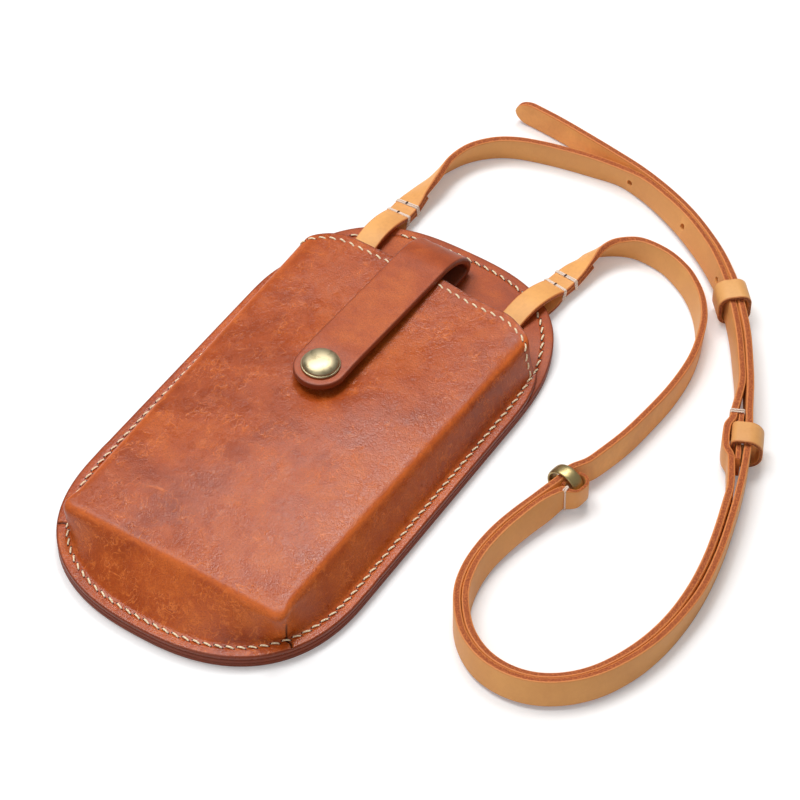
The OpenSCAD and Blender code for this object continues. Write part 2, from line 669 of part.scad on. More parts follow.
// Low domed cap with a rolled rim, and its post through the tab and the socket's plate
module snap_cap() {
    top = tab_end_z + tab_t / 2 + cap_seat;
    r = cap_d / 2;
    dome = [for (k = [0 : 9]) let (a = 90 * k / 9)
        [r * 0.93 * cos(a), cap_rim_t + (cap_h - cap_rim_t) * sin(a)]];
    foot = socket_z + socket_h - socket_plate_t - cap_flare_t - cap_seat;
    color("darkgoldenrod") {
        at_snap(top)
            rotate_extrude($fn = turn_fn)
                polygon(concat([[0, 0], [r * 0.95, 0], [r, cap_rim_t * 0.3], [r, cap_rim_t * 0.7],
                    [r * 0.97, cap_rim_t]], dome));
        at_snap(foot)
            cylinder(h = top - foot + cap_seat, r = post_r, $fn = turn_fn);
        at_snap(foot)
            cylinder(h = cap_flare_t, r = cap_flare_r, $fn = turn_fn);
    }
}

// Socket under the tab: a cup with a plate that the cap's post is flared over
module snap_socket() {
    r = socket_r;
    color("darkgoldenrod")
        at_snap(socket_z)
            rotate_extrude($fn = turn_fn)
                polygon([[socket_bore_r, 0], [r * 0.9, 0], [r, r * 0.1], [r, socket_h],
                    [post_r + 0.2, socket_h], [post_r + 0.2, socket_h - socket_plate_t],
                    [socket_bore_r, socket_h - socket_plate_t]]);
}

// Split spring ring that grips the stud under its head
module snap_spring() {
    mid = stud_head_r + spring_gap + spring_wire_r;
    color("silver")
        at_snap(socket_z + stud_neck_h * 0.55)
            difference() {
                rotate_extrude($fn = turn_fn)
                    translate([mid, 0])
                        circle(r = spring_wire_r, $fn = 16);
                translate([0, -spring_mouth / 2, -over])
                    cube([mid + over, spring_mouth, 2 * over]);
            }
}

// Stud on the pocket's face
module snap_stud() {
    neck = stud_flange_t + stud_neck_h;
    color("darkgoldenrod")
        at_snap(pocket_h)
            rotate_extrude($fn = turn_fn)
                polygon([[post_r + 0.1, 0], [stud_flange_r, 0], [stud_flange_r, stud_flange_t * 0.6],
                    [stud_flange_r * 0.92, stud_flange_t], [stud_neck_r, stud_flange_t],
                    [stud_neck_r, neck], [stud_head_r, neck + stud_head_h * 0.35],
                    [stud_head_r, neck + stud_head_h * 0.65], [stud_head_r - stud_crown, neck + stud_head_h],
                    [post_r + 0.1, neck + stud_head_h]]);
}

// Eyelet post that clinches the stud through the front leather
module snap_post() {
    under = pocket_h - front_t - eyelet_flange_t - cap_seat;
    neck = pocket_h + stud_flange_t + stud_neck_h;
    color("darkgoldenrod")
        at_snap(under)
            rotate_extrude($fn = turn_fn)
                polygon([[0, 0], [eyelet_flange_r * 0.9, 0], [eyelet_flange_r, eyelet_flange_t * 0.4],
                    [eyelet_flange_r, eyelet_flange_t], [post_r, eyelet_flange_t],
                    [post_r, neck - under], [0, neck - under]]);
}

// Last loop row and first row past the bend line of each strap's key rows
loop_n = len(left_loop);
left_cut = loop_n + len(left_shares) + pair_n - 27;
right_cut = loop_n + 11;
tail_cut = loop_n + len(right_shares) + len(ring_rows) + 26 - 2;

// Adjusting holes, by the numbers of the left strap's rows that they stand at or between
inner_start = loop_n + len(left_shares);
hole_places = [inner_start - 0.5, inner_start + 2, inner_start + 4];
function row_at(rows, place) = let (i = floor(place)) rows[i] + (rows[i + 1] - rows[i]) * (place - i);

module strap_hole(place) {
    row = row_at(left_key, place);
    d = heading(left_key, floor(place));
    translate([row[0], row[1], row[2]])
        rotate([0, 0, atan2(d[1], d[0])])
            rotate([row[3], 0, 0])
                cylinder(h = 2 * strap_t, r = strap_hole_d / 2, center = true, $fn = 32);
}

module left_strap_upper() {
    color("peru")
        placed()
            difference() {
                intersection() {
                    strap_along(smooth(slice(left_key, 0, left_cut + 1), span_steps));
                    bend_side(1);
                }
                for (place = hole_places)
                    strap_hole(place);
            }
}

module left_strap_lower() {
    color("peru")
        placed()
            intersection() {
                strap_along(smooth(slice(left_key, left_cut - 3, len(left_key) - 1), span_steps));
                bend_side(-1);
            }
}

module right_strap_upper() {
    color("burlywood")
        placed()
            intersection() {
                strap_along(smooth(slice(right_key, 0, right_cut + 1), span_steps));
                bend_side(1);
            }
}

module right_strap_lower() {
    color("burlywood")
        placed()
            intersection() {
                strap_along(smooth(slice(right_key, right_cut - 3, tail_cut + 2), span_steps));
                bend_side(-1);
            }
}

// Free end of the right strap, cut to a rounded point
module right_strap_tail() {
    rows = smooth(slice(right_key, tail_cut - 2, len(right_key) - 1), span_steps);
    tip = laid(tail_shares[len(tail_shares) - 1], strap_t);
    last = rows[len(rows) - 1];
    ends = [for (k = [1 : tip_steps]) let (u = k / tip_steps)
        [last[0] + (tip[0] - last[0]) * u, last[1] + (tip[1] - last[1]) * u, last[2], last[3], strap_t,
            strap_w * sqrt(max(1 - u * u, 0.02))]];
    color("burlywood")
        placed()
            intersection() {
                strap_along(concat(rows, ends));
                bend_side(1);
            }
}

// Short strip that makes the tunnel for the fixed keeper
module keeper_patch() {
    rows = [
        at_fixed(keeper_half + 2.6 * strap_t, patch_lay + ply_t / 2, ply_t, patch_z_w),
        at_fixed(keeper_half + strap_t, patch_lay + ply_t / 2, ply_t, patch_z_w),
        at_fixed(keeper_half, patch_clear + ply_t / 2, ply_t, patch_z_w),
        at_fixed(-keeper_half, patch_clear + ply_t / 2, ply_t, patch_z_w),
        at_fixed(-keeper_half - strap_t, patch_lay + ply_t / 2, ply_t, patch_z_w),
        at_fixed(-keeper_half - strap_t * 2.3, patch_lay + ply_t / 2, ply_t, patch_z_w)];
    color("peru")
        placed()
            strap_along(smooth(rows, span_steps));
}

// Rounded outline of a keeper, with its own corner radius on each side
module keeper_outline(half_x, half_y, r_left, r_right) {
    steps = 7;
    turn = [for (k = [0 : steps]) 90 * k / steps];
    right_top = [for (a = turn) [half_x - r_right + r_right * sin(a), half_y - r_right + r_right * cos(a)]];
    right_low = [for (a = turn) [half_x - r_right + r_right * cos(a), r_right - half_y - r_right * sin(a)]];
    left_low = [for (a = turn) [r_left - half_x - r_left * sin(a), r_left - half_y - r_left * cos(a)]];
    left_top = [for (a = turn) [r_left - half_x - r_left * cos(a), half_y - r_left + r_left * sin(a)]];
    polygon(concat(right_top, right_low, left_low, left_top));
}

// A keeper: a leather band closed round the strap, standing on the ground
module keeper(c, d, in_w, off, r_left, r_right) {
    half_x = in_w / 2;
    half_y = keeper_in_h / 2;
    translate([c[0], c[1], keeper_out_h / 2])
        rotate([0, 0, atan2(d[1], d[0]) - 90])
            translate([off, keeper_len / 2, 0])
                rotate([90, 0, 0])
                    linear_extrude(keeper_len)
                        difference() {
                            keeper_outline(half_x + keeper_wall, half_y + keeper_wall,
                                r_left + keeper_wall, r_right + keeper_wall);
                            keeper_outline(half_x, half_y, r_left, r_right);
                        }
}

module fixed_keeper() {
    left_wall = patch_clear + ply_t + tunnel_play;
    color("goldenrod")
        placed()
            keeper(fixed_c, fixed_d, fixed_in_w, fixed_in_w / 2 - left_wall, 0.8, 4.4);
}

module sliding_keeper() {
    color("goldenrod")
        placed()
            keeper(pair_rows[slider_i], heading(pair_rows, slider_i), slider_in_w, 0, 2.2, 2.2);
}

// Chunky ring, turned about the strap's direction, with rounded rims
module adjuster_ring() {
    r = ring_wall * ring_edge_r_share;
    half = ring_len / 2;
    arc = [for (k = [0 : 4]) 90 * k / 4];
    profile = concat(
        [for (a = arc) [ring_out_r - r + r * cos(a), half - r + r * sin(a)]],
        [for (a = arc) [ring_in_r + r - r * sin(a), half - r + r * cos(a)]],
        [for (a = arc) [ring_in_r + r - r * cos(a), r - half - r * sin(a)]],
        [for (a = arc) [ring_out_r - r + r * sin(a), r - half - r * cos(a)]]);
    color("darkkhaki")
        placed()
            translate([ring_c[0], ring_c[1], ring_out_r])
                rotate([0, 0, -ring_turn])
                    rotate([-90, 0, 0])
                        rotate_extrude($fn = turn_fn)
                            polygon(profile);
}

back_panel();
back_lining();
front_panel();
tab_root();
closure_tab();
snap_cap();
snap_socket();
snap_spring();
snap_stud();
snap_post();
left_strap_upper();
left_strap_lower();
right_strap_upper();
right_strap_lower();
right_strap_tail();
keeper_patch();
fixed_keeper();
sliding_keeper();
adjuster_ring();
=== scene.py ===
"""Leather phone pouch with a crossbody strap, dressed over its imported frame.

Lengths in the shape functions are millimetres on the bench: x across the pouch from its
middle, y along it from its bottom edge, z up from the ground it lies on. put_piece moves
them to the frame, which is in metres and has its origin in the middle of the back.
"""

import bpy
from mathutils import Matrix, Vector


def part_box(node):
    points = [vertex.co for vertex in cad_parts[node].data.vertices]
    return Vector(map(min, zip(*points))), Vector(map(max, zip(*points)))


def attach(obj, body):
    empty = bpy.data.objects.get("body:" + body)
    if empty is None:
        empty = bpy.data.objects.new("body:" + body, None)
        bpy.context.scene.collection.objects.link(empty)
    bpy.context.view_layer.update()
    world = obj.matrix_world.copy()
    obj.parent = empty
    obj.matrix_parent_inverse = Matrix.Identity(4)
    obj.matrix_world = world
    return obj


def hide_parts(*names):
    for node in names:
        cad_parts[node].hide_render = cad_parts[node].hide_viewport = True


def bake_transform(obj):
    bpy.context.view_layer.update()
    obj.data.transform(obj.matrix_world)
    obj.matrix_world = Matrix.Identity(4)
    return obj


bl_info = {
    "name": "Leather phone pouch",
    "version": (1, 0, 0),
    "blender": (4, 5, 0),
    "location": "3D View > Sidebar > Pouch",
    "description": "Builds the leather, thread, brass and stage of a phone pouch",
    "category": "Object",
}

import math

import bmesh
import bpy
import numpy as np
from mathutils import Matrix, Vector

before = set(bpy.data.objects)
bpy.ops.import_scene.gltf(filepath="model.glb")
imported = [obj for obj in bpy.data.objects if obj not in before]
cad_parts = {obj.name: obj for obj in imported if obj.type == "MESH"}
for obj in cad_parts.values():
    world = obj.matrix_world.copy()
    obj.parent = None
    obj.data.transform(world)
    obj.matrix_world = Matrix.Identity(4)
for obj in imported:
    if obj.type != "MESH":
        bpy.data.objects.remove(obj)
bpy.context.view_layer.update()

BACK_LOW, BACK_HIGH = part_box("back_panel")
CAP_LOW, CAP_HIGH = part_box("snap_cap")
MM = 0.001


# ---- Small tools -------------------------------------------------------------------------

def srgb(red, green, blue):
    """Colour in linear light from the three 0 to 255 values of a swatch."""
    part = np.array([red, green, blue], float) / 255
    line = np.where(part <= 0.04045, part / 12.92, ((part + 0.055) / 1.055) ** 2.4)
    return tuple(float(v) for v in line) + (1.0,)


def ease(u):
    """Smooth step: 3u^2 - 2u^3 of u held between 0 and 1."""
    v = np.clip(u, 0.0, 1.0)
    return v * v * (3 - 2 * v)


def unit(v):
    """Vectors scaled to length 1 along their last axis."""
    return v / np.maximum(np.linalg.norm(v, axis=-1, keepdims=True), 1e-12)


def grid_faces(rows, cols, loop_rows=False, loop_cols=False):
    """Quads of a grid of rows by cols points, closed in either way where asked."""
    r = np.arange(rows if loop_rows else rows - 1)
    c = np.arange(cols if loop_cols else cols - 1)
    r, c = np.meshgrid(r, c, indexing="ij")
    r2, c2 = (r + 1) % rows, (c + 1) % cols
    return np.stack([r * cols + c, r * cols + c2, r2 * cols + c2, r2 * cols + c],
                    axis=-1).reshape(-1, 4)


def bell(u):
    """Bell curve exp(-u^2)."""
    return np.exp(-u ** 2)


def in_frame(points):
    """Bench points, in millimetres, as points of the frame, in metres."""
    return (np.asarray(points, float).reshape(-1, 3) - (0.0, HALF_LEN, 0.0)) * MM


def run_of(path):
    """Length along a path up to each of its points."""
    return np.concatenate([[0], np.cumsum(np.linalg.norm(np.diff(path, axis=0), axis=1))])


def joined(shapes):
    """One shape, (points, faces, marks), from several."""
    base = np.cumsum([0] + [len(points) for points, _, _ in shapes])
    points = np.concatenate([points for points, _, _ in shapes])
    faces = np.concatenate([faces + first for (_, faces, _), first in zip(shapes, base)])
    marks = {key: np.concatenate([marks[key] for _, _, marks in shapes]) for key in shapes[0][2]}
    return points, faces, marks


def put_piece(name, points, faces, material, marks=None, sharp=50.0):
    """Mesh of points and quads: moved to the frame, seams merged, faces turned outward
    by the sign of the enclosed volume, which is the sum of a.(b x c)/6 over triangles."""
    place = in_frame(points)
    faces = np.asarray(faces, int).reshape(-1, 4)
    a, b, c, d = (place[faces[:, k]] for k in range(4))
    if np.einsum("ij,ij->", a, np.cross(b, c)) + np.einsum("ij,ij->", a, np.cross(c, d)) < 0:
        faces = faces[:, ::-1]
    mesh = bpy.data.meshes.new(name)
    mesh.from_pydata(place.tolist(), [], faces.tolist())
    for key, values in (marks or {}).items():
        values = np.asarray(values, float)
        is_vector = values.ndim > 1 and values.shape[-1] == 3
        kind, field = ("FLOAT_VECTOR", "vector") if is_vector else ("FLOAT", "value")
        mesh.attributes.new(key, kind, "POINT").data.foreach_set(field, values.reshape(-1))
    soft = bmesh.new()
    soft.from_mesh(mesh)
    bmesh.ops.remove_doubles(soft, verts=soft.verts, dist=2e-6)
    bmesh.ops.dissolve_degenerate(soft, edges=soft.edges, dist=1e-7)
    soft.to_mesh(mesh)
    soft.free()
    mesh.shade_smooth()
    mesh.set_sharp_from_angle(angle=math.radians(sharp))
    mesh.materials.append(material)
    piece = bpy.data.objects.new(name, mesh)
    bpy.context.scene.collection.objects.link(piece)
    return piece


def put_hoops(name, grid, material, marks, sharp=50.0, ring=False):
    """Piece of a grid whose rows are closed hoops, itself closed to a ring where asked."""
    faces = grid_faces(grid.shape[0], grid.shape[1], loop_rows=ring, loop_cols=True)
    return put_piece(name, grid, faces, material, marks, sharp)


def cut_out(piece, cutters):
    """Takes closed cutter meshes, given as points and quads on the bench, out of a piece."""
    tools = []
    for points, faces in cutters:
        mesh = bpy.data.meshes.new("cutter")
        mesh.from_pydata(in_frame(points).tolist(), [], [list(f) for f in faces])
        tool = bpy.data.objects.new("cutter", mesh)
        bpy.context.scene.collection.objects.link(tool)
        tools.append(tool)
        cut = piece.modifiers.new("cut", "BOOLEAN")
        cut.operation = "DIFFERENCE"
        cut.solver = "EXACT"
        cut.object = tool
    bpy.context.view_layer.update()
    ready = piece.evaluated_get(bpy.context.evaluated_depsgraph_get())
    mesh = bpy.data.meshes.new_from_object(ready)
    if len(mesh.vertices) < 0.9 * len(piece.data.vertices):
        raise RuntimeError("cutting took too much of " + piece.name)
    old = piece.data
    name = old.name
    piece.modifiers.clear()
    piece.data = mesh
    bpy.data.meshes.remove(old)
    mesh.name = name
    for tool in tools:
        data = tool.data
        bpy.data.objects.remove(tool)
        bpy.data.meshes.remove(data)


def block(x0, x1, y0, y1, z0, z1):
    """Corners and faces of a box."""
    points = [[x, y, z] for z in (z0, z1) for y in (y0, y1) for x in (x0, x1)]
    faces = [[0, 2, 3, 1], [4, 5, 7, 6], [0, 1, 5, 4], [2, 6, 7, 3], [0, 4, 6, 2], [1, 3, 7, 5]]
    return points, faces


def rod(centre, axis, radius, half):
    """Corners and faces of a round rod about an axis."""
    axis = unit(np.asarray(axis, float))
    side = unit(np.cross(axis, (0.3, 0.2, 0.9)))
    other = np.cross(axis, side)
    turn = np.linspace(0, 2 * np.pi, 24, endpoint=False)
    hoop = np.outer(np.cos(turn), side) + np.outer(np.sin(turn), other)
    points = np.concatenate([centre + radius * hoop - half * axis,
                             centre + radius * hoop + half * axis])
    n = len(turn)
    faces = [[k, (k + 1) % n, n + (k + 1) % n, n + k] for k in range(n)]
    faces += [list(range(n))[::-1], list(range(n, 2 * n))]
    return points, faces


# ---- Sizes shared with the frame, in millimetres -----------------------------------------

PANEL_W = (BACK_HIGH.x - BACK_LOW.x) * 1000
PANEL_LEN = (BACK_HIGH.y - BACK_LOW.y) * 1000
HALF_W, HALF_LEN = PANEL_W / 2, PANEL_LEN / 2
# rounded ends of the back: their lengths and superellipse powers
BOTTOM_ZONE, TOP_ZONE = 55.0, 64.0
BOTTOM_POWER, TOP_POWER = 2.43, 2.74
BACK_T, LINING_T, FRONT_T = 1.8, 1.8, 2.0
STACK_T = BACK_T + LINING_T
# pocket: height, flange, flat face, and the mouth's edge, which falls back over the corners
POCKET_H, FLANGE_W = 20.0, 5.4
FACE_BOTTOM, FACE_LOW, FACE_MOUTH, FACE_R = 22.7, 44.0, 48.0, 3.4
MOUTH_Y = PANEL_LEN - 29.5
MOUTH_DROP, MOUTH_FROM, MOUTH_RUN = 10.0, 33.0, 17.5
SNAP_Y, DIMPLE_R = PANEL_LEN - 94.5, 11
TAB_X, TAB_W, TAB_T = -3.7, 20.0, 2.8
STRAP_W, STRAP_T, PLY_T, PLY_GAP, LOOP_W = 10.1, 2.7, 1.9, 0.1, 9.4
# top margin, lifted by the loops' plies under it, and the two slots in it
MARGIN_LIFT = PLY_T + 0.4
LIFT_FROM, LIFT_TO = PANEL_LEN - 39, PANEL_LEN - 23
TURN_Y = PANEL_LEN - 22
LEFT_LOOP_X, RIGHT_LOOP_X = -34.2, 32.6
SLOT_FROM, SLOT_TO, SLOT_PLAY = 185.75, 190.4, 0.4
STITCH_INSET = 3.8


def lift_at(y):
    """Height that the top margin is lifted by: a smooth step along y."""
    return MARGIN_LIFT * ease((y - LIFT_FROM) / (LIFT_TO - LIFT_FROM))


# ---- Finishes ----------------------------------------------------------------------------

class Finish:
    """One procedural material: a principled shader and short names for what feeds it."""

    def __init__(self, name):
        self.material = bpy.data.materials.new(name)
        self.material.use_nodes = True
        self.tree = self.material.node_tree
        self.tree.nodes.clear()
        self.out = self.tree.nodes.new("ShaderNodeOutputMaterial")
        self.skin = self.tree.nodes.new("ShaderNodeBsdfPrincipled")
        self.tree.links.new(self.skin.outputs[0], self.out.inputs["Surface"])
        self.coords = self.tree.nodes.new("ShaderNodeTexCoord").outputs["Object"]

    def feed(self, socket, value):
        """Links a socket, or sets it where the value is plain."""
        if isinstance(value, bpy.types.NodeSocket):
            self.tree.links.new(value, socket)
        elif value is not None:
            socket.default_value = value

    def noise(self, size, detail=3.0, rough=0.55, warp=0.0, at=None, stretch=None, turn=None):
        """Noise with features of a size in millimetres, stretched and turned where asked."""
        place = self.coords if at is None else at
        if stretch or turn:
            move = self.tree.nodes.new("ShaderNodeMapping")
            move.inputs["Scale"].default_value = stretch or (1, 1, 1)
            move.inputs["Rotation"].default_value = turn or (0, 0, 0)
            self.feed(move.inputs["Vector"], place)
            place = move.outputs[0]
        node = self.tree.nodes.new("ShaderNodeTexNoise")
        self.feed(node.inputs["Vector"], place)
        node.inputs["Scale"].default_value = 1000 / size
        node.inputs["Detail"].default_value = detail
        node.inputs["Roughness"].default_value = rough
        node.inputs["Distortion"].default_value = warp
        return node.outputs[0]

    def cells(self, size, feature="DISTANCE_TO_EDGE", at=None):
        """Cell pattern with cells of a size in millimetres."""
        node = self.tree.nodes.new("ShaderNodeTexVoronoi")
        node.feature = feature
        self.feed(node.inputs["Vector"], self.coords if at is None else at)
        node.inputs["Scale"].default_value = 1000 / size
        return node.outputs["Distance"]

    def shaken(self, size, reach):
        """Object coordinates pushed about by noise, by a reach in millimetres."""
        node = self.tree.nodes.new("ShaderNodeTexNoise")
        self.feed(node.inputs["Vector"], self.coords)
        node.inputs["Scale"].default_value = 1000 / size
        node.inputs["Detail"].default_value = 2.0
        push = self.tree.nodes.new("ShaderNodeVectorMath")
        push.operation = "MULTIPLY_ADD"
        self.feed(push.inputs[0], node.outputs["Color"])
        push.inputs[1].default_value = (reach / 1000,) * 3
        self.feed(push.inputs[2], self.coords)
        return push.outputs[0]

    def ramp(self, fac, stops):
        """Colour ramp of (place, colour or grey) stops."""
        node = self.tree.nodes.new("ShaderNodeValToRGB")
        self.feed(node.inputs[0], fac)
        band = node.color_ramp
        for k, (place, colour) in enumerate(stops):
            stop = band.elements[k] if k < 2 else band.elements.new(place)
            stop.position = place
            stop.color = colour if hasattr(colour, "__len__") else (colour, colour, colour, 1)
        return node.outputs[0]

    def mix(self, fac, first, second):
        """Colours mixed by a factor."""
        node = self.tree.nodes.new("ShaderNodeMix")
        node.data_type = "RGBA"
        self.feed(node.inputs[0], fac)
        self.feed(node.inputs[6], first)
        self.feed(node.inputs[7], second)
        return node.outputs[2]

    def calc(self, kind, first, second=None, third=None):
        """Number worked out from one to three numbers."""
        node = self.tree.nodes.new("ShaderNodeMath")
        node.operation = kind
        for k, value in enumerate((first, second, third)):
            self.feed(node.inputs[k], value)
        return node.outputs[0]

    def times(self, product, *factors):
        """Product of numbers."""
        for factor in factors:
            product = self.calc("MULTIPLY", product, factor)
        return product

    def mark(self, name):
        """Number that a piece carries on its points."""
        node = self.tree.nodes.new("ShaderNodeAttribute")
        node.attribute_name = name
        return node.outputs["Fac"]

    def parts(self, name):
        """Three numbers that a piece carries on its points."""
        node = self.tree.nodes.new("ShaderNodeAttribute")
        node.attribute_name = name
        split = self.tree.nodes.new("ShaderNodeSeparateXYZ")
        self.feed(split.inputs[0], node.outputs["Vector"])
        return split.outputs

    def bump(self, height, depth, strength=1.0, under=None):
        """Bump of a depth in millimetres from a height between 0 and 1."""
        node = self.tree.nodes.new("ShaderNodeBump")
        node.inputs["Strength"].default_value = strength
        node.inputs["Distance"].default_value = depth / 1000
        self.feed(node.inputs["Height"], height)
        self.feed(node.inputs["Normal"], under)
        return node.outputs[0]

    def look(self, **inputs):
        """Material with the shader's inputs set or linked, their names with _ for spaces."""
        for key, value in inputs.items():
            self.feed(self.skin.inputs[key.replace("_", " ")], value)
        return self.material


# Sets of hairlines: noise size in millimetres, stretch, turn and half width of a line
HAIRS = ((4.6, (1, 0.5, 1), 0.7, 0.026), (3.4, (1, 0.42, 1), -0.5, 0.028),
         (2.6, (1, 0.8, 1), 0.1, 0.030), (5.5, (0.5, 1, 1), 0.3, 0.022))


def hairlines(f, loose):
    """Fine lines where a slow noise crosses its middle, broken up by a second noise."""
    hairs = 0.0
    for size, spread, angle, width in HAIRS:
        level = f.noise(size, 1.6, 0.5, 0.7, at=loose, stretch=spread, turn=(0, 0, angle))
        line = f.ramp(f.calc("ABSOLUTE", f.calc("SUBTRACT", level, 0.5)),
                      [(0.0, 1.0), (width, 0.0)])
        part = f.ramp(f.noise(size * 1.9, 2, 0.5, turn=(0, 0, angle + size)),
                      [(0.49, 0.0), (0.6, 1.0)])
        hairs = f.calc("MAXIMUM", hairs, f.times(line, part))
    return hairs


def pull_up_leather(name, deep, body, light, edge, flesh, crackle, rough, coat):
    """Waxed leather: clouded colour, pale hairlines and clouds where it was worked, grit and
    pores, worn orange edges, a dark waxed rim, a matt flesh side and a dart's painted shade."""
    f = Finish(name)
    patch = f.noise(9, 4, 0.65, 0.4)
    tone = f.calc("MULTIPLY_ADD", f.noise(34, 3, 0.55, 0.6), 0.6, f.times(patch, 0.4))
    colour = f.ramp(tone, [(0.3, deep), (0.52, body), (0.86, light)])
    loose = f.shaken(3.2, 2.6)
    where = f.ramp(f.noise(15, 3, 0.6, 0.5), [(0.4, 0.12), (0.58, 0.7)])
    where = f.calc("MINIMUM", f.calc("MULTIPLY_ADD", f.mark("worked"), 0.32, where), 1.0)
    marks = f.times(hairlines(f, loose), where, crackle)
    colour = f.mix(f.times(marks, 0.95), colour, srgb(230, 124, 54))
    clouds = f.ramp(f.noise(4.5, 4, 0.7, 0.8), [(0.5, 0.0), (0.68, 0.36)])
    colour = f.mix(f.times(clouds, where, crackle), colour, light)
    grit = f.ramp(f.noise(0.5, 3, 0.75), [(0.34, 0.6), (0.54, 0.0)])
    colour = f.mix(grit, colour, deep)
    wear = f.mark("wear")
    worn = f.times(wear, f.ramp(f.noise(2.6, 4, 0.7, 0.5), [(0.36, 0.35), (0.6, 1.0)]))
    colour = f.mix(worn, colour, srgb(214, 104, 34))
    pores = f.ramp(f.cells(0.62, "F1"), [(0.05, 0.22), (0.4, 0.0)])
    colour = f.mix(pores, colour, deep)
    waxed = f.mix(f.noise(3.5, 3, 0.6), edge, deep)
    colour = f.mix(f.times(f.mark("rim"), 0.92), colour, waxed)
    nap = f.mix(f.noise(1.2, 4, 0.7), flesh, deep)
    colour = f.mix(f.mark("flesh"), colour, nap)
    # painted shade: near-black colour laid along the dart's groove, deepest where the pinch is
    colour = f.mix(f.mark("slit"), colour, srgb(38, 16, 10))
    gloss = f.calc("MULTIPLY_ADD", patch, 0.24, rough - 0.12)
    gloss = f.calc("MULTIPLY_ADD", f.mark("flesh"), 0.4, gloss)
    gloss = f.calc("MULTIPLY_ADD", wear, 0.35, gloss)
    wrinkle = f.ramp(f.cells(1.25, at=loose), [(0.0, 0.0), (0.16, 1.0)])
    height = f.calc("MULTIPLY_ADD", f.noise(1.3, 3, 0.6), 0.7, f.times(wrinkle, 0.22))
    height = f.calc("MULTIPLY_ADD", marks, -0.5, height)
    return f.look(Base_Color=colour, Roughness=gloss, Specular_IOR_Level=0.36, Coat_Weight=coat,
                  Coat_Roughness=0.4,
                  Normal=f.bump(f.noise(6, 2, 0.5), 0.2, 0.6, f.bump(height, 0.1)))


def strap_leather(name, face, shade, orange, core):
    """Vegetable-tanned strap: an even tan face, orange waxed corners, and between them a
    fuzzy red-brown core on both edges."""
    f = Finish(name)
    fine, fuzz = f.noise(1.3, 3, 0.6), f.noise(0.6, 5, 0.8)
    tone = f.calc("MULTIPLY_ADD", fine, 0.25, f.times(f.noise(24, 3, 0.6, 0.5), 0.75))
    colour = f.ramp(tone, [(0.3, shade), (0.66, face)])
    lay = f.parts("lay")
    across, depth = f.calc("ABSOLUTE", lay[1]), f.calc("ABSOLUTE", lay[2])
    corner = f.ramp(across, [(0.885, 0.0), (0.945, 1.0)])
    colour = f.mix(f.times(corner, 0.85), colour, orange)
    shake = f.calc("MULTIPLY_ADD", fuzz, 0.42, -0.21)
    raw = f.times(f.ramp(across, [(0.955, 0.0), (0.985, 1.0)]),
                  f.ramp(f.calc("ADD", depth, shake), [(0.5, 1.0), (0.7, 0.0)]))
    speck = f.mix(f.ramp(fuzz, [(0.47, 0.0), (0.62, 0.9)]), core, orange)
    colour = f.mix(f.times(raw, 0.9), colour, speck)
    colour = f.mix(f.times(f.mark("flesh"), 0.55), colour, shade)
    gloss = f.calc("MULTIPLY_ADD", raw, 0.35, f.calc("MULTIPLY_ADD", fine, 0.14, 0.4))
    grain = f.calc("MULTIPLY_ADD", f.cells(0.55, "F1"), 0.35, f.times(fine, 0.6))
    grain = f.calc("MULTIPLY_ADD", f.times(raw, fuzz), 1.6, grain)
    return f.look(Base_Color=colour, Roughness=gloss, Specular_IOR_Level=0.28,
                  Normal=f.bump(grain, 0.07))


def antique_brass(name, dark, bright, rough):
    """Aged brass: bright where it is rubbed, dark in its creases and round its rims."""
    f = Finish(name)
    cloud = f.noise(4.2, 4, 0.6, 0.6)
    tone = f.calc("MULTIPLY_ADD", f.noise(0.9, 3, 0.6), 0.3, f.times(cloud, 0.7))
    colour = f.mix(f.mark("rim"), f.ramp(tone, [(0.22, dark), (0.5, bright)]), dark)
    return f.look(Base_Color=colour, Metallic=1.0, Normal=f.bump(tone, 0.03),
                  Roughness=f.calc("MULTIPLY_ADD", cloud, 0.2, rough - 0.08))


def spring_wire(name):
    """Bright drawn steel with faint bands."""
    f = Finish(name)
    band = f.noise(0.6, 3, 0.5, stretch=(1, 1, 6))
    colour = f.ramp(band, [(0.35, srgb(120, 120, 118)), (0.65, srgb(190, 190, 186))])
    return f.look(Base_Color=colour, Metallic=1.0, Roughness=f.calc("MULTIPLY_ADD", band, 0.2, 0.2))


def linen_thread(name, pale, shade):
    """Waxed linen thread: paler on the ridges of its twist, painted shade in its grooves, and a
    ribbed surface.
    """
    f = Finish(name)
    lay = f.parts("lay")
    ply = f.calc("SINE", f.calc("MULTIPLY_ADD", lay[0], 5.2, f.times(lay[1], 6.283)))
    ply = f.calc("MULTIPLY_ADD", ply, 0.5, 0.5)
    tone = f.calc("MULTIPLY_ADD", ply, 0.55, f.times(f.noise(0.5, 3, 0.7), 0.45))
    # painted shade: the twist's grooves, where the bump is low, take the darker colour; the noise
    # mixed in is the thread's own tone
    return f.look(Base_Color=f.ramp(tone, [(0.2, shade), (0.62, pale)]), Roughness=0.62,
                  Specular_IOR_Level=0.3, Normal=f.bump(ply, 0.06))


def stitch_hole_shade(name):
    """Painted shade of the pricked holes at the ends of each stitch: near-black leather colour."""
    f = Finish(name)
    colour = f.ramp(f.noise(0.8, 2, 0.5), [(0.3, srgb(40, 16, 9)), (0.7, srgb(78, 34, 18))])
    return f.look(Base_Color=colour, Roughness=0.7)


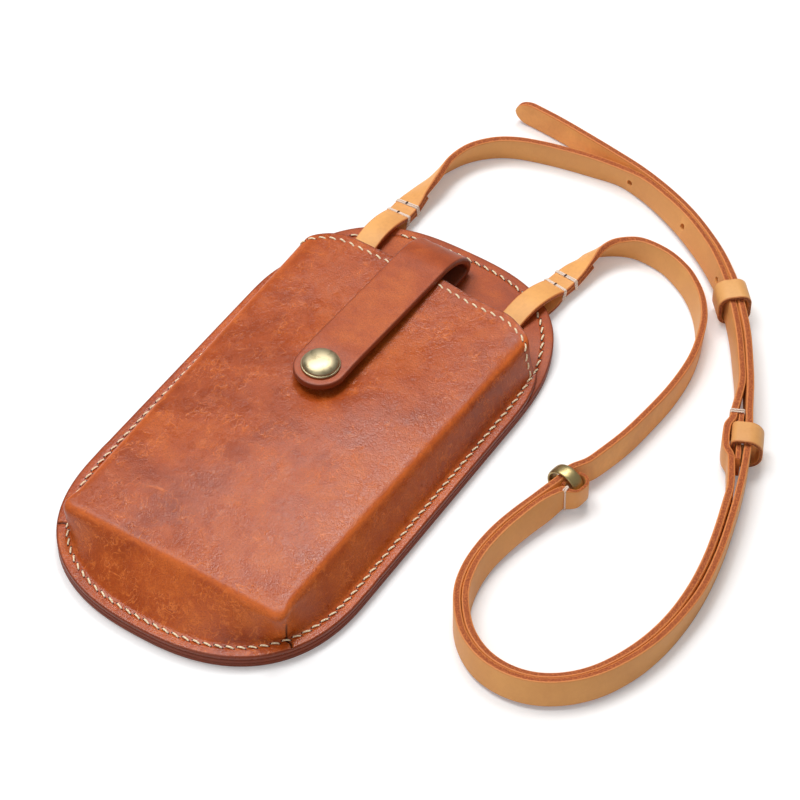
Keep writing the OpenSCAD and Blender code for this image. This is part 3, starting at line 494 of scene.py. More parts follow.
def floor_finish(name, colour, glow):
    """Pale studio floor: it takes the shadow, and where the camera sees it, it has a glow
    of its own, growing away from the pouch, that brings it up to white."""
    f = Finish(name)
    grain = f.times(f.noise(60, 2, 0.5), 0.04)
    path = f.tree.nodes.new("ShaderNodeLightPath")
    far = f.tree.nodes.new("ShaderNodeVectorMath")
    far.operation = "LENGTH"
    f.feed(far.inputs[0], f.coords)
    glow = f.ramp(f.calc("DIVIDE", far.outputs["Value"], FLOOR_HALF), [(0.1, glow), (0.5, 1.0)])
    return f.look(Base_Color=f.mix(grain, colour, srgb(236, 236, 236)), Roughness=0.9,
                  Specular_IOR_Level=0.1, Emission_Color=(1, 1, 1, 1),
                  Emission_Strength=f.times(path.outputs["Is Camera Ray"], glow))


# Maker of each finish and its looks; a text names one of the panel's colours. The leathers
# end with their crackle, roughness and coat.
LEATHER = ("leather_deep", "leather", "leather_light", "edge_wax", srgb(122, 66, 40))
RECIPES = {
    "front_leather": (pull_up_leather, *LEATHER, 1.0, 0.28, 0.0),
    "tab_leather": (pull_up_leather, *LEATHER, 0.3, 0.4, 0.22),
    "lining_leather": (pull_up_leather, *LEATHER, 0.22, 0.5, 0.05),
    "back_leather": (pull_up_leather, *LEATHER, 0.5, 0.45, 0.1),
    "strap_tan": (strap_leather, "strap", srgb(222, 154, 90), srgb(214, 124, 64),
                  srgb(146, 66, 38)),
    "keeper_tan": (strap_leather, "keeper", srgb(218, 152, 88), srgb(206, 126, 72),
                   srgb(120, 58, 36)),
    "brass": (antique_brass, srgb(112, 94, 60), "brass", 0.42),
    "ring_brass": (antique_brass, srgb(98, 78, 42), srgb(194, 174, 122), 0.38),
    "spring": (spring_wire,),
    "thread": (linen_thread, "thread", srgb(236, 208, 164)),
    "pale_thread": (linen_thread, srgb(246, 228, 212), srgb(222, 192, 170)),
    "hole": (stitch_hole_shade,),
}
FINISHES = {}


def finish(name):
    """Finish of a name, made when it is first asked for."""
    if name not in FINISHES:
        colours = bpy.context.scene.pouch_colours
        maker, *looks = RECIPES[name]
        looks = [tuple(getattr(colours, look)) if isinstance(look, str) else look for look in looks]
        FINISHES[name] = maker(name, *looks)
    return FINISHES[name]


# ---- Back --------------------------------------------------------------------------------

RIM_R, GROOVE, WAX_IN, WAX_FADE = 0.55, 0.5, 0.9, 0.8
# Insets of a slab's rings, from its middle line to the flat's edge, close at the stitch groove
FILL_INSETS = np.concatenate([[54.9], np.arange(52.5, 6.0, -2.5), [
    4.9, STITCH_INSET + 0.6, STITCH_INSET, STITCH_INSET - 0.6, 2.6, 1.3]])


def quarter(a, b, power, t):
    """Across and along of a quarter superellipse: a cos(t)^(2/power), b sin(t)^(2/power)."""
    return a * np.clip(np.cos(t), 0, 1) ** (2 / power), b * np.sin(t) ** (2 / power)


def back_ring(inset, quarter_n=46, side_n=40):
    """Closed outline of the back drawn in by an inset: a quarter superellipse at each
    corner, with straight sides between."""
    t = np.linspace(0, np.pi / 2, quarter_n)
    a, high_y = HALF_W - inset, PANEL_LEN - TOP_ZONE
    x, y = quarter(a, BOTTOM_ZONE - inset, BOTTOM_POWER, t)
    low = np.stack([x, BOTTOM_ZONE - y], -1)
    x, y = quarter(a, TOP_ZONE - inset, TOP_POWER, t)
    high = np.stack([x, high_y + y], -1)
    y = np.linspace(BOTTOM_ZONE, high_y, side_n)[1:-1]
    right = np.concatenate([low[::-1], np.stack([np.full_like(y, a), y], -1), high])
    return np.concatenate([right, right[-2:0:-1] * (-1, 1)])


def slab(z0, thick):
    """Leather layer: rings of the outline from the middle of its top, over a rounded rim
    to the middle of its bottom, all raised by the margin's lift, and the wax on its rim."""
    turn = np.linspace(0, np.pi / 2, 5)
    over, drop = RIM_R * (1 - np.sin(turn)), RIM_R * (1 - np.cos(turn))
    groove = np.where(np.abs(FILL_INSETS - STITCH_INSET) < 0.1, GROOVE, 0.0)
    insets = np.concatenate([FILL_INSETS, over])
    insets = np.concatenate([insets, insets[::-1]])
    heights = np.concatenate([z0 + thick - groove, z0 + thick - drop, (z0 + drop)[::-1],
                              (z0 + groove)[::-1]])
    ring = np.stack([back_ring(i) for i in insets])
    z = heights[:, None] + lift_at(ring[..., 1])
    grid = np.concatenate([ring, z[..., None]], -1)
    spine = grid[[0, -1]] * (0, 1, 1)
    grid = np.concatenate([spine[:1], grid, spine[1:]])
    insets = np.concatenate([[insets[0]], insets, [insets[0]]])
    rim = np.repeat(ease((WAX_IN - insets) / WAX_FADE)[:, None], ring.shape[1], 1)
    return grid, rim


def slot_cutters():
    """Cutters of the two slots in the top margin that the strap loops pass through."""
    half = STRAP_W / 2 + SLOT_PLAY
    return [block(x - half, x + half, SLOT_FROM, SLOT_TO, -1, 9)
            for x in (LEFT_LOOP_X, RIGHT_LOOP_X)]


class POUCH_OT_back(bpy.types.Operator):
    """Outer back leather and the lining on it, with waxed rims and the two strap slots"""
    bl_idname = "pouch.back"
    bl_label = "Back and lining"

    def execute(self, context):
        for node, z0, thick, name in (("back_panel", 0.0, BACK_T, "back_leather"),
                                      ("back_lining", BACK_T, LINING_T, "lining_leather")):
            grid, rim = slab(z0, thick)
            zero = np.zeros_like(rim)
            piece = put_hoops(name, grid, finish(name),
                              {"rim": rim, "wear": zero, "flesh": zero, "slit": zero})
            cut_out(piece, slot_cutters())
            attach(piece, "pouch")
            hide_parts(node)
        return {"FINISHED"}


# ---- Moulded front -----------------------------------------------------------------------

# The front's section lines fan out from CENTRE below it and run across in rows above it.
# Beyond WARP_FROM the rows are drawn to the mouth's edge.
CENTRE = np.array([0.0, 62.0])
WARP_FROM = 150.0
ANGLES = np.radians(np.unique(np.concatenate([np.linspace(-90, 0, 60), np.linspace(-50, -31, 70)])))
ROWS = np.concatenate([np.linspace(CENTRE[1], WARP_FROM, 36)[1:],
                       np.linspace(WARP_FROM, MOUTH_Y, 42)[1:]])
# Columns: insets and drops of the rim's rounding, then steps of flange, wall, shoulder and face
RIM_ROUND = ((0.0, 0.6), (0.1, 0.3), (0.3, 0.08))
FLANGE_STEPS, WALL_STEPS, SHOULDER_STEPS, FACE_STEPS = 16, 24, 10, 28
SHOULDER_OUT, SHOULDER_END, SHOULDER_DROP, END_SKEW = 1.7, 2.7, 2.2, 0.8
CROWN_H, CHANNEL_DEEP, CHANNEL_W = 1.9, 0.24, 0.55
DART_LINE = np.array([[44.2, 25.0], [50.0, 21.9]])
DART_W, DART_DEEP = 0.4, 0.7
PUSH_X, PUSH_Y, PUSH_R, PUSH = 43.4, 24.0, 4.2, 1.5
MOUTH_SAG, LIP_CROWN = 1.6, 0.28


def half_at(y, inset):
    """Half width of the back's outline at y, above the bottom zone."""
    over = np.clip((y - (PANEL_LEN - TOP_ZONE)) / (TOP_ZONE - inset), 0, 1)
    return (HALF_W - inset) * (1 - over ** TOP_POWER) ** (1 / TOP_POWER)


def by_angle(curve, angles):
    """Points of a curve round CENTRE at given angles, by its radius there."""
    rel = curve - CENTRE
    turn = np.arctan2(rel[:, 1], rel[:, 0])
    order = np.argsort(turn)
    reach = np.interp(angles, turn[order], np.hypot(rel[:, 0], rel[:, 1])[order])
    return CENTRE + reach[:, None] * np.stack([np.cos(angles), np.sin(angles)], -1)


def foot_curve(inset):
    """Right half of the outline drawn in, from the bottom middle up to CENTRE's height."""
    a = HALF_W - inset
    x, y = quarter(a, BOTTOM_ZONE - inset, BOTTOM_POWER, np.linspace(np.pi / 2, 0, 200))
    return np.concatenate([np.stack([x, BOTTOM_ZONE - y], -1), [[a, CENTRE[1]]]])


def face_half(y, side, end):
    """Half width of the flat face grown by side, at y: it widens toward the mouth."""
    top = LIFT_TO + 1
    low_y = FACE_BOTTOM - end + FACE_R
    a = FACE_LOW + side
    b = FACE_MOUTH + side + (FACE_MOUTH - FACE_LOW) * (top - MOUTH_Y) / (MOUTH_Y - FACE_BOTTOM)
    return a + (b - a) * np.clip((y - low_y) / (top - low_y), 0, 1)


def face_curve(side, end):
    """Right half of the flat face's outline, from the bottom middle up."""
    a, y = FACE_LOW + side, FACE_BOTTOM - end
    t = np.linspace(0, np.pi / 2, 40)
    corner = np.stack([a - FACE_R + FACE_R * np.sin(t), y + FACE_R - FACE_R * np.cos(t)], -1)
    low = np.stack([np.linspace(0, a - FACE_R, 80)[:-1], np.full(79, y)], -1)
    up = np.linspace(y + FACE_R, CENTRE[1], 60)[1:]
    return np.concatenate([low, corner, np.stack([face_half(up, side, end), up], -1)])


def soften(grid, first, last, passes):
    """Rounds the section lines of a grid between two columns by repeated 1-2-1 means."""
    for _ in range(passes):
        mid = grid[:, first:last].copy()
        mid[:, 1:-1] = (mid[:, :-2] + 2 * mid[:, 1:-1] + mid[:, 2:]) / 4
        grid[:, first:last] = mid
    return grid


def mouth_cut(x):
    """y of the mouth edge over x: it falls back over the corners."""
    return MOUTH_Y - MOUTH_DROP * np.clip((np.abs(x) - MOUTH_FROM) / MOUTH_RUN, 0, 1) ** 2


def dimple_at(x, y):
    """Bell of the dimple that the snap presses into the face, 1 at the snap."""
    return np.exp(-((x - TAB_X) ** 2 + (y - SNAP_Y) ** 2) / DIMPLE_R ** 2)


def section_points(low_curve, z, rows_x):
    """One column of a half front: points by angle round the bottom, then by row up the side."""
    flat = np.concatenate([by_angle(low_curve, ANGLES), np.stack([rows_x, ROWS], -1)])
    return np.concatenate([flat, np.full((len(flat), 1), z)], -1)


def half_front(inner):
    """Right half of the moulded front as a grid, from the middle of its rim to its spine.
    Its columns are the rim, the flange, the foot, the wall, the shoulder and the face."""
    t = FRONT_T if inner else 0.0
    base = STACK_T if inner else STACK_T + FRONT_T
    sign = -1 if inner else 1
    rim = [(0.0, STACK_T + FRONT_T / 2)] + [(inset, base - sign * drop)
                                            for inset, drop in RIM_ROUND]
    columns = [section_points(foot_curve(inset), z, half_at(ROWS, 0) - inset) for inset, z in rim]
    rim_in, foot_in = rim[-1][0], FLANGE_W + t
    insets = np.linspace(0.8, foot_in, FLANGE_STEPS)
    for inset in insets:
        share = (inset - rim_in) / (foot_in - rim_in)
        rows_x = (half_at(ROWS, 0) - rim_in) * (1 - share) + (HALF_W - foot_in) * share
        columns.append(section_points(foot_curve(inset), base, rows_x))
    foot = columns[-1]
    skew = t * END_SKEW / 2
    side, end = SHOULDER_OUT - t, SHOULDER_END - t - skew
    shoulder = section_points(face_curve(side, end), POCKET_H - t - SHOULDER_DROP,
                              face_half(ROWS, side, end))
    brow = section_points(face_curve(-t, -t - skew), POCKET_H - t, face_half(ROWS, -t, -t - skew))
    spine = np.concatenate([np.repeat([[0.0, CENTRE[1]]], len(ANGLES), 0),
                            np.stack([ROWS * 0, ROWS], -1)])
    spine = np.concatenate([spine, np.full((len(spine), 1), POCKET_H - t)], -1)
    columns = [column[:, None] for column in columns]
    for near, far, steps, power in ((foot, shoulder, WALL_STEPS, 1),
                                    (shoulder, brow, SHOULDER_STEPS, 1),
                                    (brow, spine, FACE_STEPS, 1.45)):
        u = (np.linspace(0, 1, steps + 1)[1:] ** power)[None, :, None]
        columns.append(near[:, None] * (1 - u) + far[:, None] * u)
    grid = np.concatenate(columns, 1)
    # rounded at the foot and the shoulder, and more loosely toward the mouth
    n_foot = len(rim) + len(insets)
    n_brow = n_foot + WALL_STEPS + SHOULDER_STEPS
    grid = soften(grid, n_foot - 5, n_foot + 14, 8)
    grid = soften(grid, n_foot + 6, n_brow + 14, 12)
    looser = soften(grid.copy(), n_foot + 4, n_brow + 20, 50)
    share = ease((grid[..., 1:2] - 135) / 40)
    grid = grid * (1 - share) + looser * share
    # crown of the face and the stitch channel
    x, y, z = grid[..., 0], grid[..., 1], grid[..., 2]
    level = ease((z - base - 4) / (POCKET_H - t - base - 4))
    crown = CROWN_H * (1 - (x / 50) ** 2) * ease((y - 24) / 45) * (1 - ease((y - 110) / 45))
    z = z + level * crown * (1 - dimple_at(x, y))
    if not inner:
        width = np.repeat(np.concatenate([np.zeros(len(rim)), insets])[None], len(y), 0)
        width[len(ANGLES):] = half_at(y[len(ANGLES):, :n_foot], 0) - x[len(ANGLES):, :n_foot]
        z[:, :n_foot] -= CHANNEL_DEEP * bell((width - STITCH_INSET) / CHANNEL_W)
    grid[..., 2] = z
    # rows drawn to the mouth's edge
    share = np.clip((y - WARP_FROM) / (MOUTH_Y - WARP_FROM), 0, 1)
    grid[..., 1] = np.where(y > WARP_FROM, WARP_FROM + share * (mouth_cut(x) - WARP_FROM), y)
    return grid, n_foot


def dart_depth(points):
    """How deep each point lies in the pinched dart at its bottom corner: a narrow groove
    along a line, from half way down the wall to the rim."""
    a, b = DART_LINE
    reach = np.linalg.norm(b - a)
    along = (b - a) / reach
    rel = points[..., :2] - a
    s = rel @ along
    off = rel @ np.array([-along[1], along[0]]) - 0.22 * np.sin(s * 1.7)
    window = (ease((s + 2.2) / 1.5) * ease((reach + 0.6 - s) / 1.2)
              * ease((15.5 - points[..., 2]) / 2.5))
    return window * bell(off / DART_W)


def corner_push(grid):
    """Points pushed out where the wall is drawn up at its bottom corner: a bell about the
    corner of the face."""
    away = np.hypot(grid[..., 0] - PUSH_X, grid[..., 1] - PUSH_Y)
    push = PUSH * bell(away / PUSH_R) * ease((grid[..., 2] - STACK_T - 1.2) / 3)
    moved = grid.copy()
    moved[..., 0] += 0.95 * push
    moved[..., 1] -= 0.1 * push
    return moved


def uneven(grid):
    """Slow unevenness of hand-moulded leather on the raised part of a grid: products of
    sines of x and y, growing with the height above the flange. On the right of the tab the
    mouth's edge falls back a little."""
    x, y, z = grid[..., 0], grid[..., 1], grid[..., 2]
    level = ease((z - STACK_T - 5) / 10)
    slow = (0.16 * np.sin(x / 13.0 + 0.7) * np.sin(y / 17.0 + 1.1)
            + 0.09 * np.sin(x / 6.1 + 2.0 + y / 23.0) * np.cos(y / 8.3))
    clear = 1 - dimple_at(x, y)
    moved = grid.copy()
    moved[..., 2] += slow * level * clear - 0.12 * level * (1 - clear)
    sag = MOUTH_SAG * ease((x - 6) / 18) * (1 - ease((x - 41) / 8))
    moved[..., 1] -= sag * np.clip((y - WARP_FROM) / (MOUTH_Y - WARP_FROM), 0, 1)
    return moved


def front_grids():
    """Outer and inner grids of the right half of the front, the number of columns up to its
    foot and the depth of its dart."""
    outer, n_foot = half_front(False)
    inner, _ = half_front(True)
    outer, inner = corner_push(outer), corner_push(inner)
    pinch = dart_depth(outer)
    outer[..., 2] -= DART_DEEP * pinch * (outer[..., 2] > STACK_T + 1.4)
    return outer, inner, n_foot, pinch


class POUCH_OT_front(bpy.types.Operator):
    """Moulded front: flange, walls with a dart at each corner, soft shoulders and the mouth"""
    bl_idname = "pouch.front"
    bl_label = "Moulded front"

    def execute(self, context):
        outer, inner, n_foot, pinch = front_grids()
        rows, cols = outer.shape[:2]
        column = np.arange(cols)
        crease, wall = n_foot + 30, n_foot + 14

        def down(values):
            """One value for each column, for all rows."""
            return np.repeat(values[None], rows, 0) * 1.0

        wear = down(np.maximum(0.9 * bell((column - crease) / 3.2),
                               0.16 * bell((column - wall) / 9.0)))
        rim = down(column < 4)
        rim[-1] = np.maximum(rim[-1], 0.8)
        worked = bell((column - crease) / 9.0) + 0.8 * (np.abs(column - n_foot - 12) < 14)
        worked = down(np.minimum(worked, 1)) * (0.35 + 0.65 * ease((120 - outer[..., 1]) / 60))
        marks = {
            "wear": (wear, 0 * wear),
            "worked": (worked, 0 * worked),
            "rim": (rim, rim),
            "flesh": (0 * wear, down(column > 4)),
            # painted shade along the dart's groove, on the outer shell only
            "slit": (pinch, 0 * pinch),
        }
        shapes = []
        for side in (1, -1):
            shells = [uneven(grid * (side, 1, 1)) for grid in (outer, inner)]
            # rim of the mouth: two rows between the outer and inner edges, crowned outward
            front, back = shells[0][-1], shells[1][-1]
            lips = [front * (1 - s) + back * s + np.array([0, LIP_CROWN, 0]) for s in (0.25, 0.75)]
            shells.append(np.stack([front] + lips + [back]))
            for k, shell in enumerate(shells):
                quads = grid_faces(shell.shape[0], cols)
                quads = quads[:, ::-1] if (side < 0) != (k > 0) else quads
                lip = {key: np.full(4 * cols, float(key == "rim")) for key in marks}
                own = lip if k == 2 else {key: pair[k].reshape(-1) for key, pair in marks.items()}
                shapes.append((shell.reshape(-1, 3), quads, own))
        points, faces, values = joined(shapes)
        piece = put_piece("front_leather", points, faces, finish("front_leather"),
                          values)
        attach(piece, "pouch")
        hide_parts("front_panel")
        return {"FINISHED"}


# ---- Tab and snap ------------------------------------------------------------------------

# Curl of the tab beyond the mouth and the snap's stack under the tab
CURL_Y, CURL_LEN, CURL_H, CURL_LIFT, BEND_R = PANEL_LEN - 30.5, 20.6, 13.3, 0.85, 2.9
STUD_RIM, SNAP_PLAY, SOCKET_H = 0.8, 0.2, 3.0
TAB_SAMPLES, PAST_CURL = 420, 200
TAB_EDGE_R, POST_HOLE_R = 1.25, 2.0
CAP_H, BEAD_R, CAP_POST_R, CAP_FLARE_R = 3.2, 0.5, 1.6, 2.3


def tab_line():
    """Middle line of the tab, (y, z): flat root, a small bend, an elliptical curl over the
    mouth and a slow rise to the snap; sampled again at even steps."""
    root_z = STACK_T + 0.05 + TAB_T / 2
    low_z = root_z + MARGIN_LIFT
    curl_z = low_z + CURL_LIFT
    top_z = max(curl_z + CURL_H, POCKET_H + TAB_T / 2 + 0.4)
    end_z = POCKET_H + STUD_RIM + SNAP_PLAY + SOCKET_H + TAB_T / 2
    y = np.linspace(LIFT_FROM - 24, LIFT_TO, 40)
    root = np.stack([y, root_z + lift_at(y)], -1)
    a = np.radians(np.linspace(-90, -15, 12))
    turn = np.stack([np.cos(a), np.sin(a)], -1)
    bend = np.array([CURL_Y + CURL_LEN - BEND_R, low_z + BEND_R]) + BEND_R * turn
    a = np.radians(np.linspace(11, 90, 40))
    curl = np.stack([CURL_Y + CURL_LEN * np.cos(a), curl_z + (top_z - curl_z) * np.sin(a)], -1)
    u = np.linspace(0, 1, 40)[1:]
    rise = np.stack([CURL_Y + (SNAP_Y + TAB_W / 2 - CURL_Y) * u,
                     top_z + (end_z - top_z) * u ** 1.15], -1)
    line = np.concatenate([root, bend, curl, rise, [[SNAP_Y - TAB_W / 2 - 1, end_z]]])
    run = run_of(line)
    at = np.linspace(0, run[-1], TAB_SAMPLES)
    even = np.stack([np.interp(at, run, line[:, 0]), np.interp(at, run, line[:, 1])], -1)
    for _ in range(30):
        even[1:-1] = (even[:-2] + 2 * even[1:-1] + even[2:]) / 4
    return even


def tab_grid():
    """Closed grid of the tab with its waxed rim and its flesh side: across it the half
    thickness is t/2 (1-(1-d/r)^4)^(1/4) at a distance d from its outline, which ends in a
    half circle about the snap."""
    line = tab_line()
    first_past = int(np.argmax((line[:, 0] < SNAP_Y) & (np.arange(len(line)) > PAST_CURL)))
    arc = np.linspace(0, np.pi / 2, 26)[1:]
    nose_y = SNAP_Y - TAB_W / 2 * np.sin(arc)
    path = np.concatenate([line[:first_past],
                           np.stack([nose_y, np.full_like(nose_y, line[-1, 1])], -1)])
    half = np.concatenate([np.full(first_past, TAB_W / 2), TAB_W / 2 * np.cos(arc)])
    d = unit(np.gradient(path, axis=0))
    q = np.linspace(-1, 1, 41)
    q = np.sign(q) * (1 - (1 - np.abs(q)) ** 1.9)
    x = half[:, None] * q[None]
    past_snap = np.maximum(SNAP_Y - path[:, 0], 0) * (np.arange(len(path)) > PAST_CURL)
    depth = np.clip(TAB_W / 2 - np.hypot(x, past_snap[:, None]), 0, None)
    tau = TAB_T / 2 * (1 - (1 - np.clip(depth / TAB_EDGE_R, 0, 1)) ** 4) ** 0.25
    crease = 0.1 * bell((depth - 2.2) / 0.4)
    sides = []
    for h in (tau, crease - tau):
        sides.append(np.stack([TAB_X + x, path[:, :1] + h * d[:, 1:],
                               path[:, 1:] - h * d[:, :1]], -1))
    ring = np.concatenate([sides[0], sides[1][:, ::-1]], 1)
    rim = ease((0.95 - depth) / 0.8)
    rim = np.concatenate([rim, rim[:, ::-1]], 1)
    flesh = np.concatenate([np.zeros_like(tau), np.ones_like(tau)], 1)
    root_end = np.repeat(ring[:1].mean(1, keepdims=True), ring.shape[1], 1)
    return (np.concatenate([root_end, ring]), np.concatenate([rim[:1], rim]),
            np.concatenate([flesh[:1], flesh]))


class POUCH_OT_tab(bpy.types.Operator):
    """Closure tab: one strip from its root inside the mouth, curled over and snapped down"""
    bl_idname = "pouch.tab"
    bl_label = "Closure tab"

    def execute(self, context):
        grid, rim, flesh = tab_grid()
        piece = put_hoops("closure_strip", grid, finish("tab_leather"),
                          {"rim": rim, "flesh": flesh * 0.8 * (1 - rim), "wear": 0 * rim,
                           "slit": 0 * rim})
        cut_out(piece, [rod(np.array([TAB_X, SNAP_Y, POCKET_H + 5]), (0, 0, 1), POST_HOLE_R, 4)])
        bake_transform(piece)
        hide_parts("tab_root", "closure_tab")
        return {"FINISHED"}


def lathe(profile, x, y, turn_n):
    """Grid of (radius, height) points turned about a vertical axis at x and y."""
    a = np.linspace(0, 2 * np.pi, turn_n, endpoint=False)
    radius, height = profile[:, :1], np.repeat(profile[:, 1:], turn_n, 1)
    return np.stack([x + radius * np.cos(a), y + radius * np.sin(a), height], -1)


class POUCH_OT_snap(bpy.types.Operator):
    """Snap: a low domed cap with a rolled rim over its post, and brass on the hidden parts"""
    bl_idname = "pouch.snap"
    bl_label = "Snap"

    def execute(self, context):
        r = (CAP_HIGH.x - CAP_LOW.x) * 500
        top, foot = CAP_HIGH.z * 1000, CAP_LOW.z * 1000
        seat = top - CAP_H
        a = np.radians(np.linspace(0, 90, 18))
        dome = np.stack([r * 0.925 * np.cos(a) ** 0.8,
                         seat + 1.15 + (top - seat - 1.15) * np.sin(a)], -1)
        roll = np.radians(np.linspace(-90, 75, 12))
        bead = np.stack([r - BEAD_R + BEAD_R * np.cos(roll),
                         seat + BEAD_R + BEAD_R * np.sin(roll)], -1)
        post = [[0, foot], [CAP_FLARE_R, foot], [CAP_FLARE_R, foot + 0.3],
                [CAP_POST_R, foot + 0.32],
                [CAP_POST_R, seat]]
        profile = np.concatenate([post, bead, [[r * 0.935, seat + 0.98]], dome])
        dark = np.concatenate([np.full(len(post), 0.6), np.linspace(0.7, 0.1, len(bead)), [1.0],
                               np.linspace(0.75, 0, len(dome)) ** 2])
        grid = lathe(profile, TAB_X, SNAP_Y, 96)
        piece = put_hoops("snap_cap_brass", grid, finish("brass"),
                          {"rim": np.repeat(dark[:, None], 96, 1)}, 70)
        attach(piece, "tab")
        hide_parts("snap_cap")
        for node, name in (("snap_socket", "brass"), ("snap_stud", "brass"), ("snap_post", "brass"),
                           ("snap_spring", "spring")):
            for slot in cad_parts[node].material_slots:
                slot.material = finish(name)
        return {"FINISHED"}


# ---- Straps ------------------------------------------------------------------------------

KEEPER_WALL, KEEPER_LEN, KEEPER_PLAY = 1.5, 9.7, 0.5
SLIDER_IN_W, FIXED_IN_W = 9.6, 8.8
KEEPER_IN_H = STRAP_W + 2 * KEEPER_PLAY
KEEPER_LIFT = KEEPER_WALL + KEEPER_PLAY
KEEPER_ROUND = 0.4
RING_LEN, RING_WALL = 5.0, 1.35
RING_STRAP_OFF = STRAP_T / 2 - 0.4
RING_IN_R = math.hypot(STRAP_W / 2, RING_STRAP_OFF + STRAP_T / 2 - STRAP_T * 0.16) + 0.15
RING_OUT_R = RING_IN_R + RING_WALL
RING_LIFT = RING_OUT_R - STRAP_W / 2
RING_TURN = math.radians(9)
RING_C = np.array([90.2, TURN_Y - 57.2])
STRAP_HOLE_R = 1.25

# Routes of the laid straps. Each row is across and along in shares of SPAN from the top of
# the margin's turn, then keeper lift, ring lift and roll in degrees.
SPAN = 100.0
PAIR = np.array([
    [0.920, -0.580, 0, 1, 96], [0.905, -0.652, 0, 1, 102], [0.885, -0.718, 0, 0.9, 107],
    [0.862, -0.803, 0, 0.65, 107], [0.842, -0.898, 0, 0.35, 106], [0.832, -1.000, 0, 0.12, 103],
    [0.838, -1.096, 0, 0, 100], [0.862, -1.187, 0, 0, 96], [0.908, -1.271, 0, 0, 89],
    [0.977, -1.346, 0, 0, 85], [1.068, -1.398, 0, 0, 79], [1.170, -1.413, 0, 0, 75],
    [1.271, -1.391, 0, 0, 73], [1.362, -1.332, 0, 0, 73], [1.436, -1.243, 0, 0, 75],
    [1.489, -1.127, 0, 0, 79], [1.518, -1.010, 0, 0, 85], [1.530, -0.890, 0, 0, 89],
    [1.528, -0.760, 0.1, 0, 93], [1.512, -0.631, 0.3, 0, 93], [1.486, -0.507, 0.55, 0, 92],
    [1.451, -0.378, 0.8, 0, 91], [1.424, -0.290, 0.95, 0, 90], [1.390, -0.190, 1, 0, 90],
    [1.340, -0.070, 1, 0, 90], [1.278, 0.046, 1, 0, 91], [1.216, 0.160, 1, 0, 95],
    [1.154, 0.263, 1, 0, 97], [1.093, 0.358, 1, 0, 98], [1.036, 0.436, 1, 0, 98],
    [0.962, 0.527, 1, 0, 98], [0.880, 0.611, 0.75, 0, 103], [0.768, 0.707, 0.1, 0, 108],
    [0.624, 0.798, 0, 0, 108], [0.488, 0.862, 0, 0, 102], [0.377, 0.900, 0, 0, 97]])
LEFT = np.array([
    [-0.331, 0.481, 0.4, 0, 128], [-0.328, 0.574, 0.3, 0, 112], [-0.297, 0.672, 0.3, 0, 101],
    [-0.236, 0.754, 0.2, 0, 95], [-0.159, 0.808, 0.1, 0, 92], [-0.067, 0.843, 0, 0, 90],
    [0.037, 0.868, 0, 0, 90], [0.148, 0.888, 0, 0, 90], [0.262, 0.900, 0, 0, 94]])
RIGHT = np.array([
    [0.400, 0.473, 0.4, 0, 130], [0.434, 0.530, 0.3, 0, 110], [0.486, 0.573, 0.2, 0, 97],
    [0.547, 0.593, 0.15, 0, 85], [0.645, 0.588, 0, 0, 78], [0.735, 0.553, 0, 0, 72],
    [0.798, 0.512, 0, 0, 73], [0.856, 0.459, 0, 0, 75], [0.911, 0.387, 0, 0, 80],
    [0.948, 0.312, 0, 0, 86], [0.979, 0.210, 0, 0, 88], [0.994, 0.115, 0, 0, 91],
    [0.999, -0.002, 0, 0, 94], [0.993, -0.123, 0, 0.1, 96], [0.978, -0.277, 0, 0.3, 98],
    [0.953, -0.408, 0, 0.7, 98], [0.934, -0.474, 0, 0.9, 95]])
TAIL = np.array([
    [0.350, 0.922, 0.1, 0, 99], [0.220, 0.950, 0.1, 0, 96], [0.050, 0.978, 0.1, 0, 95],
    [-0.080, 0.996, 0.1, 0, 95], [-0.200, 1.006, 0.1, 0, 95], [-0.272, 1.003, 0.1, 0, 95]])
PAIR_GAP = STRAP_T * np.repeat([0.2, 0.1, 0.25, 0.15, 0.2, 0.14, 0.2], [5, 13, 5, 5, 3, 2, 3])
# Rows of PAIR at the sliding keeper, the fixed keeper and the two ends of its tunnel
SLIDER_I, FIXED_I, TUNNEL_A, TUNNEL_B = 30, 24, 22, 26
# Rows of a strap loop, and the first of them after the half turn
LOOP_KEYS, LOOP_TOP = 23, 15


def laid(shares, thick):
    """Rows (x, y, z, roll) of a laid strap: a leaning strap rests on its lower corner, and
    the lifts hold it at the middle height of a keeper or the ring."""
    x, y = shares[:, 0] * SPAN, TURN_Y + shares[:, 1] * SPAN
    roll = np.radians(shares[:, 4])
    rest = STRAP_W / 2 * (np.sin(roll) - 1) + thick / 2 * np.abs(np.cos(roll))
    z = (STRAP_W / 2 + shares[:, 2] * KEEPER_LIFT + shares[:, 3] * RING_LIFT
         + (1 - shares[:, 2]) * (1 - shares[:, 3]) * rest)
    return np.stack([x, y, z, shares[:, 4]], -1)


def heading(rows):
    """Plan direction at each row, from the row before to the row after."""
    step = np.concatenate([rows[1:2] - rows[:1], rows[2:] - rows[:-2], rows[-1:] - rows[-2:-1]])
    return unit(step[:, :2])


def beside(rows, off):
    """Rows moved to their left by off, square to the leather, with thickness and width."""
    h = heading(rows)
    side = np.stack([-h[:, 1], h[:, 0]], -1)
    roll = np.radians(rows[:, 3])
    plan = rows[:, :2] + (off * np.sin(roll))[:, None] * side
    ones = np.ones(len(rows))
    return np.concatenate([plan, (rows[:, 2] - off * np.cos(roll))[:, None], rows[:, 3:4],
                           (STRAP_T * ones)[:, None], (STRAP_W * ones)[:, None]], -1)


def turned(rows):
    """The same rows for a strap that runs the other way."""
    back = rows.copy()
    back[:, 3] = 180 - back[:, 3]
    return back


def standing(shares):
    """Rows of a single strap."""
    rows = laid(shares, STRAP_T)
    extra = np.tile([STRAP_T, STRAP_W], (len(rows), 1))
    return np.concatenate([rows, extra], -1)


